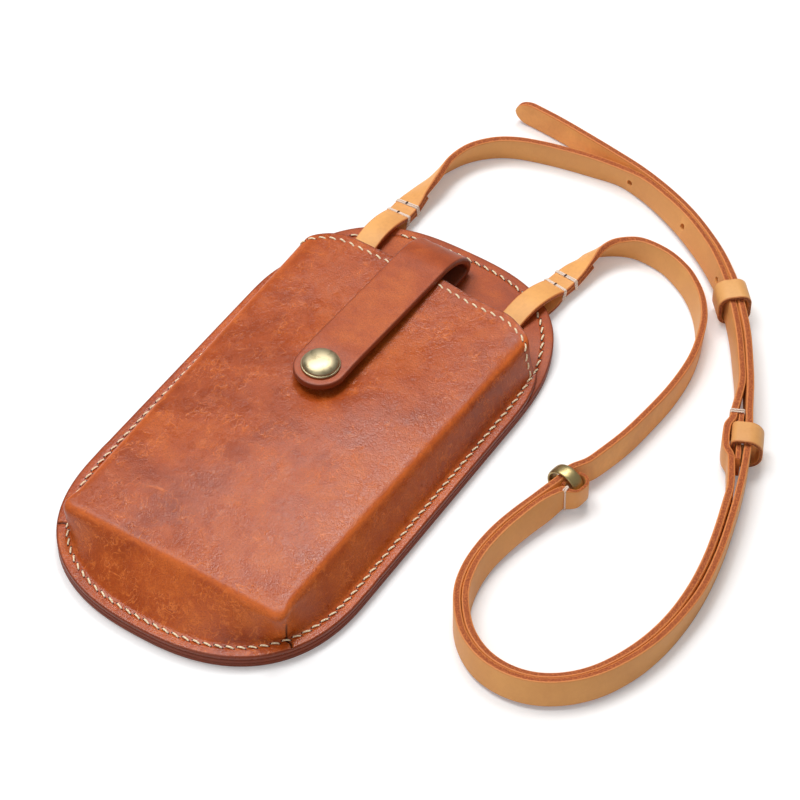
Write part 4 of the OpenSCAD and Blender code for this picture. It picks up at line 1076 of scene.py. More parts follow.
PAIR_ROWS = laid(PAIR, 2 * STRAP_T)
PAIR_HEAD = heading(PAIR_ROWS)
INNER = beside(PAIR_ROWS, (STRAP_T + PAIR_GAP) / 2)
OUTER = beside(PAIR_ROWS, -(STRAP_T + PAIR_GAP) / 2)
KEEPER_HALF = KEEPER_LEN / 2
PATCH_CLEAR, PATCH_LAY = 0.9, 0.75
BULGE = PATCH_CLEAR + PLY_T + 0.8 + KEEPER_WALL + STRAP_T / 2
WHIP_OFF = PATCH_LAY + PLY_T + PLY_GAP + STRAP_T / 2
# thickness of the skived end that folds round the ring
FOLD_T = 1.3


def at_ring(table):
    """Rows at the ring from (across it, along the strap, thickness, width)."""
    table = np.asarray(table, float)
    across = np.array([math.cos(RING_TURN), -math.sin(RING_TURN)])
    along = np.array([math.sin(RING_TURN), math.cos(RING_TURN)])
    plan = RING_C + table[:, :1] * across + table[:, 1:2] * along
    n = len(table)
    return np.concatenate([plan, np.tile([RING_OUT_R, 90.0], (n, 1)), table[:, 2:]], -1)


def at_fixed(table, thick, width):
    """Rows beside the fixed keeper from (distance along the pair, off to its left)."""
    table = np.asarray(table, float)
    c, d = PAIR_ROWS[FIXED_I], PAIR_HEAD[FIXED_I]
    plan = c[:2] + table[:, :1] * d + table[:, 1:2] * np.array([-d[1], d[0]])
    return np.concatenate([plan, np.tile([c[2], 90.0, thick, width], (len(table), 1))], -1)


def loop_rows(x, slope, fold_end, fold_roll):
    """Rows of a strap loop: the folded end under the seam, the half turn round the lifted
    margin, the arch over it and the upper ply that twists until its right edge is on top.
    The last two columns hold the direction of its width while it lies flat."""
    margin_mid = MARGIN_LIFT + STACK_T / 2
    turn_r = STACK_T / 2 + 0.35 + PLY_T / 2
    stack_z = margin_mid + turn_r
    seam_z = stack_z - 2.15
    mid = (fold_end + 31) / 2
    flat = unit(np.array([-1.0, slope]))

    def ply(at, z, roll, under=0.0, share=1.0):
        a = math.radians(roll)
        return [x + slope * at + under * math.sin(a), TURN_Y + at, z - under * math.cos(a), -roll,
                PLY_T,
                LOOP_W * share, *flat]

    off = PLY_T + PLY_GAP
    rows = [ply(fold_end, seam_z + 0.45, fold_roll, off, 0.8),
            ply(mid, seam_z + 0.225, 17, off, 0.9),
            ply(31, seam_z, 6, off), ply(25, seam_z + 0.05, 2, off),
            ply(20, margin_mid - turn_r + 0.2, 0),
            ply(12, margin_mid - turn_r, 0)]
    for k in range(9):
        a = math.radians(-90 - 22.5 * k)
        rows.append(ply(turn_r * math.cos(a), margin_mid + turn_r * math.sin(a), 0))
    rows += [ply(4, stack_z + 1.2, 0), ply(9, stack_z + 1.9, 0), ply(15, stack_z + 1.3, 0),
             ply(21, stack_z - 0.5, 1), ply(25, seam_z + 0.05, 2), ply(31, seam_z, 6),
             ply(mid, seam_z + 0.225, 17), ply(fold_end, seam_z + 0.45, fold_roll)]
    return np.array(rows)


def after_loop(rows):
    """Rows that follow a loop: turned half round about the strap, so that the twist runs on."""
    return np.concatenate([rows - (0, 0, 0, 180, 0, 0), np.zeros((len(rows), 2))], 1)


def left_rows():
    """All rows of the left strap, from its loop to the fold round the ring."""
    kh, t, w = KEEPER_HALF, STRAP_T, STRAP_W
    tunnel = at_fixed([
        [-kh - 2.7 * t, WHIP_OFF - 0.1], [-kh - 1.6 * t, WHIP_OFF + 0.4],
        [-kh - 0.5 * t, BULGE * 0.94],
        [-kh * 0.5, BULGE + 0.15], [kh * 0.5, BULGE + 0.05], [kh + 0.1 * t, BULGE - 0.3],
        [kh + 1.3 * t, WHIP_OFF + 0.5], [kh + 2.9 * t, WHIP_OFF + 0.1]], t, w)
    ft, tongue = FOLD_T, w * 0.82
    out = RING_OUT_R + 0.3 + ft / 2
    far = RING_LEN / 2 + 0.3 + ft / 2
    inn = t / 2 - RING_STRAP_OFF + PLY_GAP + ft / 2
    fold = at_ring([
        [inn + 1.6 * ft, -1.8 * far, t, w], [out * 0.64, -far * 1.5, (t + ft) / 2, w * 0.97],
        [out * 0.95, -far * 0.9, ft, w * 0.9], [out, 0, ft, tongue],
        [out * 0.96, far * 0.72, ft, tongue],
        [out * 0.72, far * 1.25, ft, tongue], [out * 0.42, far * 1.22, ft, tongue],
        [inn * 1.08, far * 0.7, ft, tongue], [inn, 0, ft, tongue],
        [inn + 0.2, -far * 0.6, ft, tongue],
        [inn + 0.5, -far * 1.15, ft, tongue]])
    rest = np.concatenate([standing(LEFT), turned(INNER[:TUNNEL_B - 1:-1]), tunnel[::-1],
                           turned(INNER[TUNNEL_A:1:-1]), fold])
    return np.concatenate([loop_rows(LEFT_LOOP_X, 0.01, 39, 30), after_loop(rest)])


def right_rows():
    """All rows of the right strap, from its loop through the ring to near its free end."""
    ring = at_ring([[-RING_STRAP_OFF, RING_LEN * 0.8, STRAP_T, STRAP_W],
                    [-RING_STRAP_OFF, 0, STRAP_T, STRAP_W],
                    [-RING_STRAP_OFF + 0.1, -RING_LEN * 0.7, STRAP_T, STRAP_W]])
    rest = np.concatenate([standing(RIGHT), ring, OUTER[2:-1], standing(TAIL[:-1])])
    return np.concatenate([loop_rows(RIGHT_LOOP_X, 0.155, 42, 36), after_loop(rest)])


def smooth(rows, steps):
    """Catmull-Rom curve through rows, with steps rows from each to the next."""
    pad = np.concatenate([rows[:1], rows, rows[-1:]])
    p, q, r, s = pad[:-3], pad[1:-2], pad[2:-1], pad[3:]
    u = (np.arange(steps) / steps)[None, :, None]
    p, q, r, s = (v[:, None] for v in (p, q, r, s))
    curve = (2 * q + (r - p) * u + (2 * p - 5 * q + 4 * r - s) * u ** 2
             + (3 * q - p - 3 * r + s) * u ** 3) / 2
    return np.concatenate([curve.reshape(-1, rows.shape[1]), rows[-1:]])


def strap_frame(rows):
    """Centre, direction, width direction and face normal of each row. The width stands at
    the roll from the left side of the way, or from the direction that a loop's rows hold,
    and is made square to the direction."""
    c = rows[:, :3]
    d = unit(np.concatenate([c[1:2] - c[:1], c[2:] - c[:-2], c[-1:] - c[-2:-1]]))
    plan = np.linalg.norm(d[:, :2], axis=1)
    left = np.stack([-d[:, 1], d[:, 0]], -1) / np.maximum(plan, 1e-9)[:, None]
    held = rows[:, 6:8] if rows.shape[1] > 6 else 0 * left
    free = 1 - np.minimum(np.linalg.norm(held, axis=1, keepdims=True), 1)
    flat = unit(held + free * left)
    roll = np.radians(rows[:, 3])
    w = np.concatenate([flat * np.cos(roll)[:, None], np.sin(roll)[:, None]], -1)
    w = unit(w - np.sum(w * d, 1, keepdims=True) * d)
    return c, d, w, np.cross(d, w)


def corner_rounds(steps):
    """Points of a rounded rectangle, steps to each corner: the signs of their corner, and
    how far they lie in from its two sides, in shares of the corner's radius."""
    t = np.radians(np.linspace(0, 90, steps))
    arc = np.stack([1 - np.cos(t), 1 - np.sin(t)], -1)
    signs = np.repeat([(1.0, 1.0), (-1.0, 1.0), (-1.0, -1.0), (1.0, -1.0)], steps, 0)
    return signs, np.concatenate([arc, arc[::-1], arc, arc[::-1]])


def sweep(rows, corner=0.42):
    """Rounded bar carried along rows, closed at both ends. Each point keeps how far along,
    across and deep it is, the last two in shares of half the width and half the thickness."""
    c, _, w, n = strap_frame(rows)
    signs, arcs = corner_rounds(5)
    half_t, half_w = rows[:, 4:5] / 2, rows[:, 5:6] / 2
    r = np.minimum(np.minimum(corner, half_t * 0.8), half_w)
    qn = signs[:, 0] * (half_t - r * arcs[:, 0])
    qw = signs[:, 1] * (half_w - r * arcs[:, 1])
    grid = c[:, None] + qn[..., None] * n[:, None] + qw[..., None] * w[:, None]
    run = np.repeat(run_of(c)[:, None], len(signs), 1)
    lay = np.stack([run, qw / np.maximum(half_w, 0.3), qn / half_t], -1)
    first, last = (np.repeat(c[k][None, None], len(signs), 1) for k in (0, -1))
    return np.concatenate([first, grid, last]), np.concatenate([lay[:1], lay, lay[-1:]])


def put_strap(name, rows):
    """Strap piece along finely spaced rows."""
    grid, lay = sweep(rows)
    return put_hoops(name, grid, finish("strap_tan"),
                     {"lay": lay, "flesh": (lay[..., 2] < -0.9) * 1.0}, 60)


class POUCH_OT_left_strap(bpy.types.Operator):
    """Left strap: loop, far edge, inner layer with its adjusting holes, fold at the ring"""
    bl_idname = "pouch.left_strap"
    bl_label = "Left strap"

    def execute(self, context):
        keys = left_rows()
        piece = put_strap("left_strap", smooth(keys, 6))
        start = LOOP_KEYS + len(LEFT)
        cutters, steps = [], 12
        for place in (start - 0.5, start + 2, start + 4):
            i = int(math.floor(place))
            pair = smooth(keys[i - 2:i + 4], steps)
            at = 2 * steps + int(round((place - i) * steps))
            c, _, _, n = strap_frame(pair)
            cutters.append(rod(c[at], n[at], STRAP_HOLE_R, 3.2))
        cut_out(piece, cutters)
        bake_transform(piece)
        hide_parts("left_strap_upper", "left_strap_lower")
        return {"FINISHED"}


class POUCH_OT_right_strap(bpy.types.Operator):
    """Right strap: loop, ring, outer layer, both keepers and its pointed free end"""
    bl_idname = "pouch.right_strap"
    bl_label = "Right strap"

    def execute(self, context):
        rows = smooth(right_rows(), 6)
        tip = laid(TAIL[-1:], STRAP_T)[0]
        u = np.sin(np.linspace(0, np.pi / 2, 16))[1:]
        last = rows[-1]
        ends = np.repeat(last[None], len(u), 0)
        ends[:, :2] = last[:2] + (tip[:2] - last[:2]) * u[:, None]
        ends[:, 5] = STRAP_W * np.sqrt(np.maximum(1 - u ** 2, 0.004))
        piece = put_strap("right_strap", np.concatenate([rows, ends]))
        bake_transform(piece)
        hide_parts("right_strap_upper", "right_strap_lower", "right_strap_tail")
        return {"FINISHED"}


# ---- Keepers, patch and ring -------------------------------------------------------------

def keeper_outline(half_x, half_y, r_left, r_right):
    """Closed outline of a keeper's bore with its own corner radius on each side."""
    signs, arcs = corner_rounds(12)
    radius = np.where(signs[:, 1:] > 0, r_right, r_left)
    return (signs * ((half_y, half_x) - radius * arcs))[:, ::-1]


def keeper_grid(centre, way, in_w, off, r_left, r_right):
    """Leather band: between its inner and outer outlines runs a rounded rectangle, its
    points at a share of the wall and a reach along the strap."""
    half_x, half_y, wall = in_w / 2, KEEPER_IN_H / 2, KEEPER_WALL
    inner = keeper_outline(half_x, half_y, r_left, r_right)
    outer = keeper_outline(half_x + wall, half_y + wall, r_left + wall, r_right + wall)
    signs, arcs = corner_rounds(5)
    share = 0.5 + signs[:, 0] * (0.5 - KEEPER_ROUND / wall * arcs[:, 0])
    reach = signs[:, 1] * (KEEPER_HALF - KEEPER_ROUND * arcs[:, 1])
    flat = inner[:, None] * (1 - share[None, :, None]) + outer[:, None] * share[None, :, None]
    along = np.repeat(reach[None], len(inner), 0)
    side = np.array([way[1], -way[0]])
    plan = centre[:2] + (flat[..., 0] + off)[..., None] * side + along[..., None] * way
    grid = np.concatenate([plan, (half_y + wall + flat[..., 1])[..., None]], -1)
    run = np.repeat(run_of(inner)[:, None], len(share), 1)
    lay = np.stack([run, along / KEEPER_HALF, np.repeat((share * 2 - 1)[None], len(inner), 0)], -1)
    return grid, lay


class POUCH_OT_keepers(bpy.types.Operator):
    """Sliding keeper, fixed keeper and the patch sewn over it"""
    bl_idname = "pouch.keepers"
    bl_label = "Keepers and patch"

    def execute(self, context):
        fixed_off = FIXED_IN_W / 2 - (PATCH_CLEAR + PLY_T + 0.4)
        for name, node, body, i, in_w, off, r_left, r_right in (
                ("sliding_band", "sliding_keeper", "slider", SLIDER_I, SLIDER_IN_W, 0.0, 3.0, 3.0),
                ("fixed_band", "fixed_keeper", "strap_loop", FIXED_I, FIXED_IN_W, fixed_off,
                 0.8, 4.4)):
            grid, lay = keeper_grid(PAIR_ROWS[i], PAIR_HEAD[i], in_w, off, r_left, r_right)
            piece = put_hoops(name, grid, finish("keeper_tan"),
                              {"lay": lay, "flesh": (lay[..., 2] < -0.9) * 1.0}, 60, ring=True)
            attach(piece, body)
            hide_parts(node)
        kh, t = KEEPER_HALF, STRAP_T
        lie, clear = PATCH_LAY + PLY_T / 2, PATCH_CLEAR + PLY_T / 2
        rows = at_fixed([[kh + 2.6 * t, lie], [kh + t, lie], [kh, clear], [-kh, clear],
                         [-kh - t, lie],
                         [-kh - 2.3 * t, lie]], PLY_T, STRAP_W * 0.93)
        grid, lay = sweep(smooth(rows, 8), 0.35)
        piece = put_hoops("tunnel_patch", grid, finish("strap_tan"),
                          {"lay": lay, "flesh": 0 * lay[..., 2]}, 60)
        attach(piece, "strap_loop")
        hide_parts("keeper_patch")
        return {"FINISHED"}


class POUCH_OT_ring(bpy.types.Operator):
    """Chunky brass ring with a crowned outer face and rounded rims"""
    bl_idname = "pouch.ring"
    bl_label = "Brass ring"

    def execute(self, context):
        mid_r = (RING_IN_R + RING_OUT_R) / 2
        # superellipse section: wall across, length along
        turn = np.linspace(0, 2 * np.pi, 28, endpoint=False)
        cs, sn = np.cos(turn), np.sin(turn)
        radial = mid_r + RING_WALL / 2 * np.sign(cs) * np.abs(cs) ** 0.75
        along = RING_LEN / 2 * np.sign(sn) * np.abs(sn) ** 0.75
        hoop = np.linspace(0, 2 * np.pi, 96, endpoint=False)
        across_d = np.array([math.cos(RING_TURN), -math.sin(RING_TURN), 0])
        along_d = np.array([math.sin(RING_TURN), math.cos(RING_TURN), 0])
        centre = np.array([RING_C[0], RING_C[1], RING_OUT_R])
        spoke = np.outer(np.cos(hoop), across_d) + np.outer(np.sin(hoop), [0, 0, 1])
        grid = centre + radial[None, :, None] * spoke[:, None] + along[None, :, None] * along_d
        dark = 0.75 * ease((mid_r - 0.3 - radial) / 0.5) + 0.15 * ease(np.abs(along) / 2 - 0.7)
        piece = put_hoops("ring_band", grid, finish("ring_brass"),
                          {"rim": np.repeat(dark[None], len(hoop), 0)}, 80, ring=True)
        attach(piece, "ring")
        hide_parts("adjuster_ring")
        return {"FINISHED"}


# ---- Stitching ---------------------------------------------------------------------------

# Length of a stitch in shares of its pitch, its thread's radius, the radius of the painted shade in
# its holes, and its lean
THREAD_SHARE, THREAD_R, HOLE_R, STITCH_LEAN = 0.79, 0.39, 0.38, math.radians(-18)
# Bands of thread round a loop: their places, half the gap of their strands, and their radius
LOOP_BANDS, STRAND_OFF, BAND_R, FREE_BAND_R = (24.5, 30.8), 0.36, 0.37, 0.34
# No stitches are seen this near a loop's middle, beyond the flange
LOOP_CLEAR, LOOP_SIDE, CLEAR_FROM = 6.2, 2.7, 200


def resampled(path, step):
    """Places at even steps along an open path, with its extra columns, and their directions."""
    run = run_of(path[:, :3])
    count = max(int(round(run[-1] / step)), 1)
    at = (np.arange(count) + 0.5) * run[-1] / count
    out = np.stack([np.interp(at, run, column) for column in path.T], -1)
    ahead, behind = (np.stack([np.interp(at + reach, run, column) for column in path[:, :3].T], -1)
                     for reach in (0.4, -0.4))
    return out, unit(ahead - behind)


def stamped(hoops, places, ways, normals, slant, ends=0.0):
    """Points and faces of a shape of closed hoops set at each place, its z along the normal
    and its x along the way turned by a slant, or at both ends of such a line."""
    ways = unit(ways - np.sum(ways * normals, -1, keepdims=True) * normals)
    main = math.cos(slant) * ways + math.sin(slant) * np.cross(normals, ways)
    if ends:
        places = np.concatenate([places + ends * main, places - ends * main])
        main, normals = np.concatenate([main, main]), np.concatenate([normals, normals])
    cross = np.cross(normals, main)
    flat = hoops.reshape(-1, 3)
    points = (places[:, None] + flat[None, :, :1] * main[:, None]
              + flat[None, :, 1:2] * cross[:, None]
              + flat[None, :, 2:] * normals[:, None])
    one = grid_faces(hoops.shape[0], hoops.shape[1], loop_cols=True)
    faces = one[None] + (np.arange(len(places)) * len(flat))[:, None, None]
    return points.reshape(-1, 3), faces.reshape(-1, 4)


def stitch_shapes(places, ways, normals, length, rise):
    """Threads laid between two pricked holes: a bent rod whose middle stands up by a
    parabola, 1-u^2, carried to each place with its slant to the seam."""
    u = np.linspace(-1, 1, 7)
    a = np.linspace(0, 2 * np.pi, 7)[:-1]
    x = u * length / 2
    z = rise * (1 - u ** 2) - 0.32 * u ** 4
    thin = THREAD_R * (1 - 0.35 * u ** 4)
    rod_rows = np.stack([np.repeat(x[:, None], 6, 1), thin[:, None] * np.cos(a),
                         z[:, None] + 0.8 * thin[:, None] * np.sin(a)], -1)
    tips = [np.repeat([[[end * (length / 2 + 0.1), 0, z[0] - 0.1]]], 6, 1) for end in (-1, 1)]
    hoops = np.concatenate([tips[0], rod_rows, tips[1]])
    points, faces = stamped(hoops, places, ways, normals, STITCH_LEAN)
    along = hoops[..., 0].reshape(-1)
    lay = np.tile(np.stack([along, np.tile(np.arange(6) / 6, 9), 0 * along], -1), (len(places), 1))
    return points, faces, {"lay": lay}


def hole_shade_shapes(places, ways, normals, length, radius, slant):
    """Painted shade of pricked holes: a shallow dark lens at both ends of each stitch."""
    a = np.linspace(0, 2 * np.pi, 9)[:-1]
    lens = np.array([[0.0, 0.06], [radius * 0.7, 0.05], [radius, 0.0],
                     [radius * 0.7, -0.15], [0, -0.2]])
    hoops = np.stack([lens[:, :1] * np.cos(a), 0.8 * lens[:, :1] * np.sin(a),
                      np.repeat(lens[:, 1:], 8, 1)], -1)
    return (*stamped(hoops, places, ways, normals, slant, length / 2 + 0.05), {})


def perimeter_path(top):
    """Seam line round the pouch on its top or bottom side: the outline drawn in, closed, on
    the flange below the mouth and on the lifted top margin above it for the top side."""
    ring = back_ring(STITCH_INSET, 120, 200)
    ring = np.concatenate([ring, ring[:1]])
    y = ring[:, 1]
    if top:
        z = np.where(y < MOUTH_Y - MOUTH_DROP, STACK_T + FRONT_T, STACK_T + lift_at(y))
    else:
        z = lift_at(y)
    slope = (lift_at(y + 0.2) - lift_at(y - 0.2)) / 0.4
    slope = np.where(top & (y < MOUTH_Y - MOUTH_DROP), 0, slope)
    sign = 1.0 if top else -1.0
    normal = unit(np.stack([0 * y, -slope, 0 * y + 1], -1)) * sign
    return np.concatenate([ring, z[:, None], normal], -1)


def mouth_path():
    """Seam line along the mouth's edge: a row of the front's grid from the flange up the
    wall, over the face and down the other wall, with the surface's normals."""
    outer, _, n_foot, _ = front_grids()
    row = len(ANGLES) + int(np.argmin(np.abs(ROWS - (MOUTH_Y - 3.2))))
    row = min(row, outer.shape[0] - 3)
    sides = []
    for side in (1, -1):
        grid = uneven(outer * (side, 1, 1))
        line = grid[row]
        normal = unit(np.cross(np.gradient(line, axis=0), grid[row + 2] - grid[row - 2]))
        normal = normal * np.where(normal[:, 2:3] < 0, -1, 1)
        sides.append(np.concatenate([line, normal], -1)[n_foot - 8:])
    return np.concatenate([sides[0], sides[1][:-1][::-1]])


def wrap_path(centre, width_d, normal_d, half_w, half_t):
    """Closed rounded rectangle round a strap in the plane of its width and normal."""
    signs, arcs = corner_rounds(5)
    at = signs * (np.array([half_t, half_w]) + 0.15 - 0.5 * arcs)
    return centre + at[:, :1] * normal_d + at[:, 1:] * width_d


def tubes(name, paths, radius, body):
    """Closed rings of pale thread: a six-sided section carried round each closed path."""
    a = np.linspace(0, 2 * np.pi, 7)[:-1]
    shapes = []
    for path in paths:
        step = unit(np.roll(path, -1, 0) - np.roll(path, 1, 0))
        axis = unit(np.cross(path[0] - path.mean(0), path[3] - path.mean(0)))
        out = np.cross(step, axis)
        round_it = np.cos(a)[None, :, None] * out[:, None] + np.sin(a)[None, :, None] * axis
        grid = path[:, None] + radius * round_it
        grid[..., 2] = np.maximum(grid[..., 2], 0.02)
        run = np.repeat(run_of(path)[:, None], 6, 1)
        lay = np.stack([run, np.repeat((np.arange(6) / 6)[None], len(path), 0), 0 * run], -1)
        shapes.append((grid.reshape(-1, 3), grid_faces(len(path), 6, True, True),
                       {"lay": lay.reshape(-1, 3)}))
    points, faces, marks = joined(shapes)
    piece = put_piece(name, points, faces, finish("pale_thread"), marks, 80)
    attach(piece, body)


class POUCH_OT_stitching(bpy.types.Operator):
    """Saddle stitches round the pouch and along the mouth, with the painted shade of their pricked
    holes
    """
    bl_idname = "pouch.stitching"
    bl_label = "Pouch stitching"

    def execute(self, context):
        pitch = context.scene.pouch_sizes.stitch_pitch * 1000
        length = pitch * THREAD_SHARE
        threads, holes = [], []
        for path, lift, rise, gaps in ((perimeter_path(True), 0.12, 0.2, True),
                                       (perimeter_path(False), -0.42, 0.05, False),
                                       (mouth_path(), 0.0, 0.22, False)):
            out, way = resampled(path, pitch)
            normal = unit(out[:, 3:6])
            place = out[:, :3] + lift * normal
            if gaps:
                x, y = out[:, 0], out[:, 1]
                away = np.minimum(np.abs(x - LEFT_LOOP_X), np.abs(x - RIGHT_LOOP_X - LOOP_SIDE))
                keep = (away >= LOOP_CLEAR) | (y <= CLEAR_FROM)
                place, way, normal = place[keep], way[keep], normal[keep]
            threads.append(stitch_shapes(place, way, normal, length, rise))
            # painted shade: a dark lens sunk into the pricked hole at both ends of each stitch
            holes.append(hole_shade_shapes(place - 0.1 * normal, way, normal, length, HOLE_R,
                                     STITCH_LEAN))
        points, faces, marks = joined(threads)
        piece = put_piece("pouch_thread", points, faces, finish("thread"), marks, 80)
        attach(piece, "pouch")
        points, faces, _ = joined(holes)
        piece = put_piece("pouch_thread_holes", points, faces, finish("hole"))
        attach(piece, "pouch")
        return {"FINISHED"}


class POUCH_OT_strap_threads(bpy.types.Operator):
    """Pale threads that bind the strap's folds: two at each loop, one at the ring, and the
    whipping of the tunnel"""
    bl_idname = "pouch.strap_threads"
    bl_label = "Strap threads"

    def execute(self, context):
        steps = 24
        first = LOOP_TOP * steps
        paths, spots, ups, runs = [], [], [], []
        for rows in (left_rows(), right_rows()):
            loop = smooth(rows[:LOOP_KEYS + 1], steps)
            c, d, w, n = strap_frame(loop)
            for along in LOOP_BANDS:
                for strand in (-STRAND_OFF, 0.0, STRAND_OFF):
                    i = first + int(np.argmin(np.abs(loop[first:, 1] - TURN_Y - along - strand)))
                    up = n[i] * np.sign(n[i][2])
                    centre = c[i] - up * (PLY_T + PLY_GAP) / 2
                    if strand:
                        paths.append(wrap_path(centre, w[i], up, LOOP_W / 2, PLY_T + PLY_GAP / 2))
                    else:
                        spots.append(centre + (PLY_T + 0.56) * up + 0.2 * w[i])
                        ups.append(up)
                        runs.append(d[i])
        tubes("loop_threads", paths, BAND_R, "pouch")
        # painted shade: a dark lens in the hole between the two strands of each band
        points, faces, _ = hole_shade_shapes(np.array(spots), np.array(runs), np.array(ups),
                                       0.5, 0.55, 0.0)
        piece = put_piece("loop_holes", points, faces, finish("hole"))
        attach(piece, "pouch")
        fold = smooth(left_rows()[-13:-7], 6)
        c, d, w, n = strap_frame(fold)
        free = [wrap_path(c[k], w[k], n[k], fold[k, 5] / 2, fold[k, 4] / 2) for k in (15, 17)]
        at, way = PAIR_ROWS[FIXED_I][:3], np.append(PAIR_HEAD[FIXED_I], 0)
        left = np.array([-way[1], way[0], 0])
        outer = WHIP_OFF + STRAP_T / 2
        for s in (KEEPER_HALF + 2.15 * STRAP_T, KEEPER_HALF + 2.5 * STRAP_T):
            centre = at + s * way + ((PATCH_LAY + outer) / 2 + 0.05) * left
            free.append(wrap_path(centre, np.array([0, 0, 1.0]), left, STRAP_W / 2,
                                  (outer - PATCH_LAY) / 2))
        tubes("free_threads", free, FREE_BAND_R, "strap_loop")
        return {"FINISHED"}


# ---- Stage -------------------------------------------------------------------------------

CAMERA_TARGET = (0.01616, 0.03335, 0.0)
CAMERA_AZIMUTH, CAMERA_HEIGHT, CAMERA_REACH = 33.170, 48.204, 1.0958
CAMERA_LENS, SENSOR_W = 135.0, 36.0
LAMP_AIM = (0.03, 0.02, 0)
# Each lamp's place and size in metres, and the panel's value that holds its power
LAMPS = (("window", (-1.05, 0.1, 2.5), 1.3, "window_power"),
         ("sheen", (-0.40, 0.96, 1.86), 0.6, "sheen_power"),
         ("front_fill", (0.2, -2.6, 2.1), 2.2, "fill_power"))
FLOOR_HALF, FLOOR_DROP = 3.0, 0.00005


class POUCH_OT_stage(bpy.types.Operator):
    """Pale floor, soft studio light and the camera"""
    bl_idname = "pouch.stage"
    bl_label = "Stage"

    def execute(self, context):
        scene = context.scene
        size = scene.pouch_sizes
        axis = np.linspace(-FLOOR_HALF, FLOOR_HALF, 3)
        gx, gy = np.meshgrid(axis, axis, indexing="ij")
        points = np.stack([gx, gy, 0 * gx - FLOOR_DROP], -1).reshape(-1, 3)
        mesh = bpy.data.meshes.new("floor")
        mesh.from_pydata(points.tolist(), [], grid_faces(3, 3)[:, ::-1].tolist())
        mesh.materials.append(floor_finish("floor_white", srgb(243, 243, 243), size.floor_glow))
        floor = bpy.data.objects.new("floor", mesh)
        scene.collection.objects.link(floor)
        a, e = math.radians(CAMERA_AZIMUTH), math.radians(CAMERA_HEIGHT)
        back = Vector((math.sin(a) * math.cos(e), -math.cos(a) * math.cos(e), math.sin(e)))
        right = Vector((math.cos(a), math.sin(a), 0))
        up = back.cross(right)
        spin = Matrix((right, up, back)).transposed().to_4x4()
        lens = bpy.data.cameras.new("photo_camera")
        lens.lens = CAMERA_LENS
        lens.sensor_width = SENSOR_W
        lens.clip_start = 0.01
        camera = bpy.data.objects.new("photo_camera", lens)
        camera.matrix_world = Matrix.Translation(Vector(CAMERA_TARGET) + CAMERA_REACH * back) @ spin
        scene.collection.objects.link(camera)
        scene.camera = camera
        for name, place, wide, power in LAMPS:
            lamp = bpy.data.lights.new(name, "AREA")
            lamp.shape = "SQUARE"
            lamp.size = wide
            lamp.energy = getattr(size, power)
            light = bpy.data.objects.new(name, lamp)
            aim = Vector(LAMP_AIM) - Vector(place)
            turn = aim.to_track_quat("-Z", "Y").to_matrix().to_4x4()
            light.matrix_world = Matrix.Translation(place) @ turn
            scene.collection.objects.link(light)
        world = bpy.data.worlds.new("studio")
        world.use_nodes = True
        tree = world.node_tree
        tree.nodes.clear()
        path = tree.nodes.new("ShaderNodeLightPath")
        level = tree.nodes.new("ShaderNodeMapRange")
        level.inputs["To Min"].default_value = size.room_light
        level.inputs["To Max"].default_value = 1.0
        tree.links.new(path.outputs["Is Camera Ray"], level.inputs["Value"])
        sky = tree.nodes.new("ShaderNodeBackground")
        sky.inputs["Color"].default_value = (1, 1, 1, 1)
        tree.links.new(level.outputs[0], sky.inputs["Strength"])
        out = tree.nodes.new("ShaderNodeOutputWorld")
        tree.links.new(sky.outputs[0], out.inputs["Surface"])
        scene.world = world
        scene.view_settings.view_transform = "Standard"
        return {"FINISHED"}


# ---- Sizes, colours and the panel --------------------------------------------------------

def power_property(name, description, watts):
    """Power of a lamp."""
    return bpy.props.FloatProperty(name=name, description=description, default=watts,
                                   min=0.0, unit="POWER")


def share_property(name, description, share):
    """Value between 0 and 1."""
    return bpy.props.FloatProperty(name=name, description=description, default=share,
                                   min=0.0, max=1.0, subtype="FACTOR")


def colour_property(name, description, swatch):
    """Colour with its default in linear light."""
    return bpy.props.FloatVectorProperty(name=name, description=description, subtype="COLOR",
                                         size=4, min=0.0, max=1.0, default=swatch)


class PouchSizes(bpy.types.PropertyGroup):
    """Sizes and light levels that a user would change"""
    stitch_pitch: bpy.props.FloatProperty(
        name="Stitch pitch", description="Distance from one saddle stitch to the next",
        default=0.0039, min=0.002, max=0.006, unit="LENGTH")
    window_power: power_property("Window power", "Power of the large soft lamp", 40.0)
    sheen_power: power_property("Sheen power", "Power of the lamp that the face mirrors", 15.0)
    fill_power: power_property("Fill power", "Power of the soft lamp in front", 17.0)
    room_light: share_property("Room light", "Even light from all sides", 0.26)
    floor_glow: share_property("Floor glow", "What brings the seen floor up to white", 0.16)


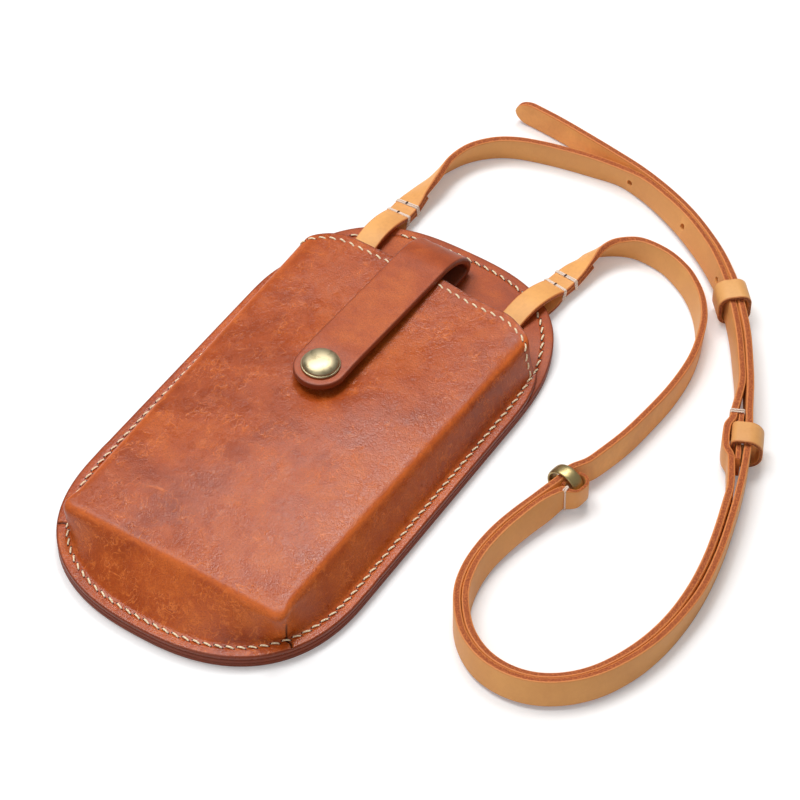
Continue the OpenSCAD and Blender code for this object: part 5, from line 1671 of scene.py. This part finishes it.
class PouchColours(bpy.types.PropertyGroup):
    """Colours of the leathers, thread and brass"""
    leather: colour_property("Leather", "Main colour of the pouch leather", srgb(180, 79, 25))
    leather_light: colour_property("Leather, worn", "Colour of creases and handling marks",
                                   srgb(226, 120, 44))
    leather_deep: colour_property("Leather, deep", "Colour of the darkest clouds",
                                  srgb(138, 52, 16))
    edge_wax: colour_property("Edge wax", "Colour of the waxed rims", srgb(110, 52, 32))
    strap: colour_property("Strap", "Colour of the strap's face", srgb(250, 184, 108))
    keeper: colour_property("Keeper", "Colour of the keeper bands", srgb(236, 176, 108))
    thread: colour_property("Thread", "Colour of the pouch's thread", srgb(252, 236, 204))
    brass: colour_property("Brass", "Colour of the rubbed brass", srgb(204, 190, 154))


OPERATORS = (POUCH_OT_stage, POUCH_OT_back, POUCH_OT_front, POUCH_OT_tab, POUCH_OT_snap,
             POUCH_OT_left_strap, POUCH_OT_right_strap, POUCH_OT_keepers, POUCH_OT_ring,
             POUCH_OT_stitching, POUCH_OT_strap_threads)


class POUCH_PT_pieces(bpy.types.Panel):
    """Lists the pieces of the pouch, its sizes and its colours"""
    bl_idname = "POUCH_PT_pieces"
    bl_label = "Phone pouch"
    bl_space_type = "VIEW_3D"
    bl_region_type = "UI"
    bl_category = "Pouch"

    def draw(self, context):
        layout = self.layout
        for group in (context.scene.pouch_sizes, context.scene.pouch_colours):
            box = layout.box()
            for key in group.__annotations__:
                box.prop(group, key)
        for operator in OPERATORS:
            layout.operator(operator.bl_idname)


CLASSES = (PouchSizes, PouchColours) + OPERATORS + (POUCH_PT_pieces,)


def register():
    """Adds the classes and the two property groups."""
    for cls in CLASSES:
        bpy.utils.register_class(cls)
    bpy.types.Scene.pouch_sizes = bpy.props.PointerProperty(type=PouchSizes)
    bpy.types.Scene.pouch_colours = bpy.props.PointerProperty(type=PouchColours)


def unregister():
    """Takes them out again."""
    del bpy.types.Scene.pouch_colours
    del bpy.types.Scene.pouch_sizes
    for cls in reversed(CLASSES):
        bpy.utils.unregister_class(cls)


def main():
    """Builds every piece in order."""
    register()
    bpy.ops.pouch.stage()
    bpy.ops.pouch.back()
    bpy.ops.pouch.front()
    bpy.ops.pouch.tab()
    bpy.ops.pouch.snap()
    bpy.ops.pouch.left_strap()
    bpy.ops.pouch.right_strap()
    bpy.ops.pouch.keepers()
    bpy.ops.pouch.ring()
    bpy.ops.pouch.stitching()
    bpy.ops.pouch.strap_threads()
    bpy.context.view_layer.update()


if __name__ == "__main__":
    main()
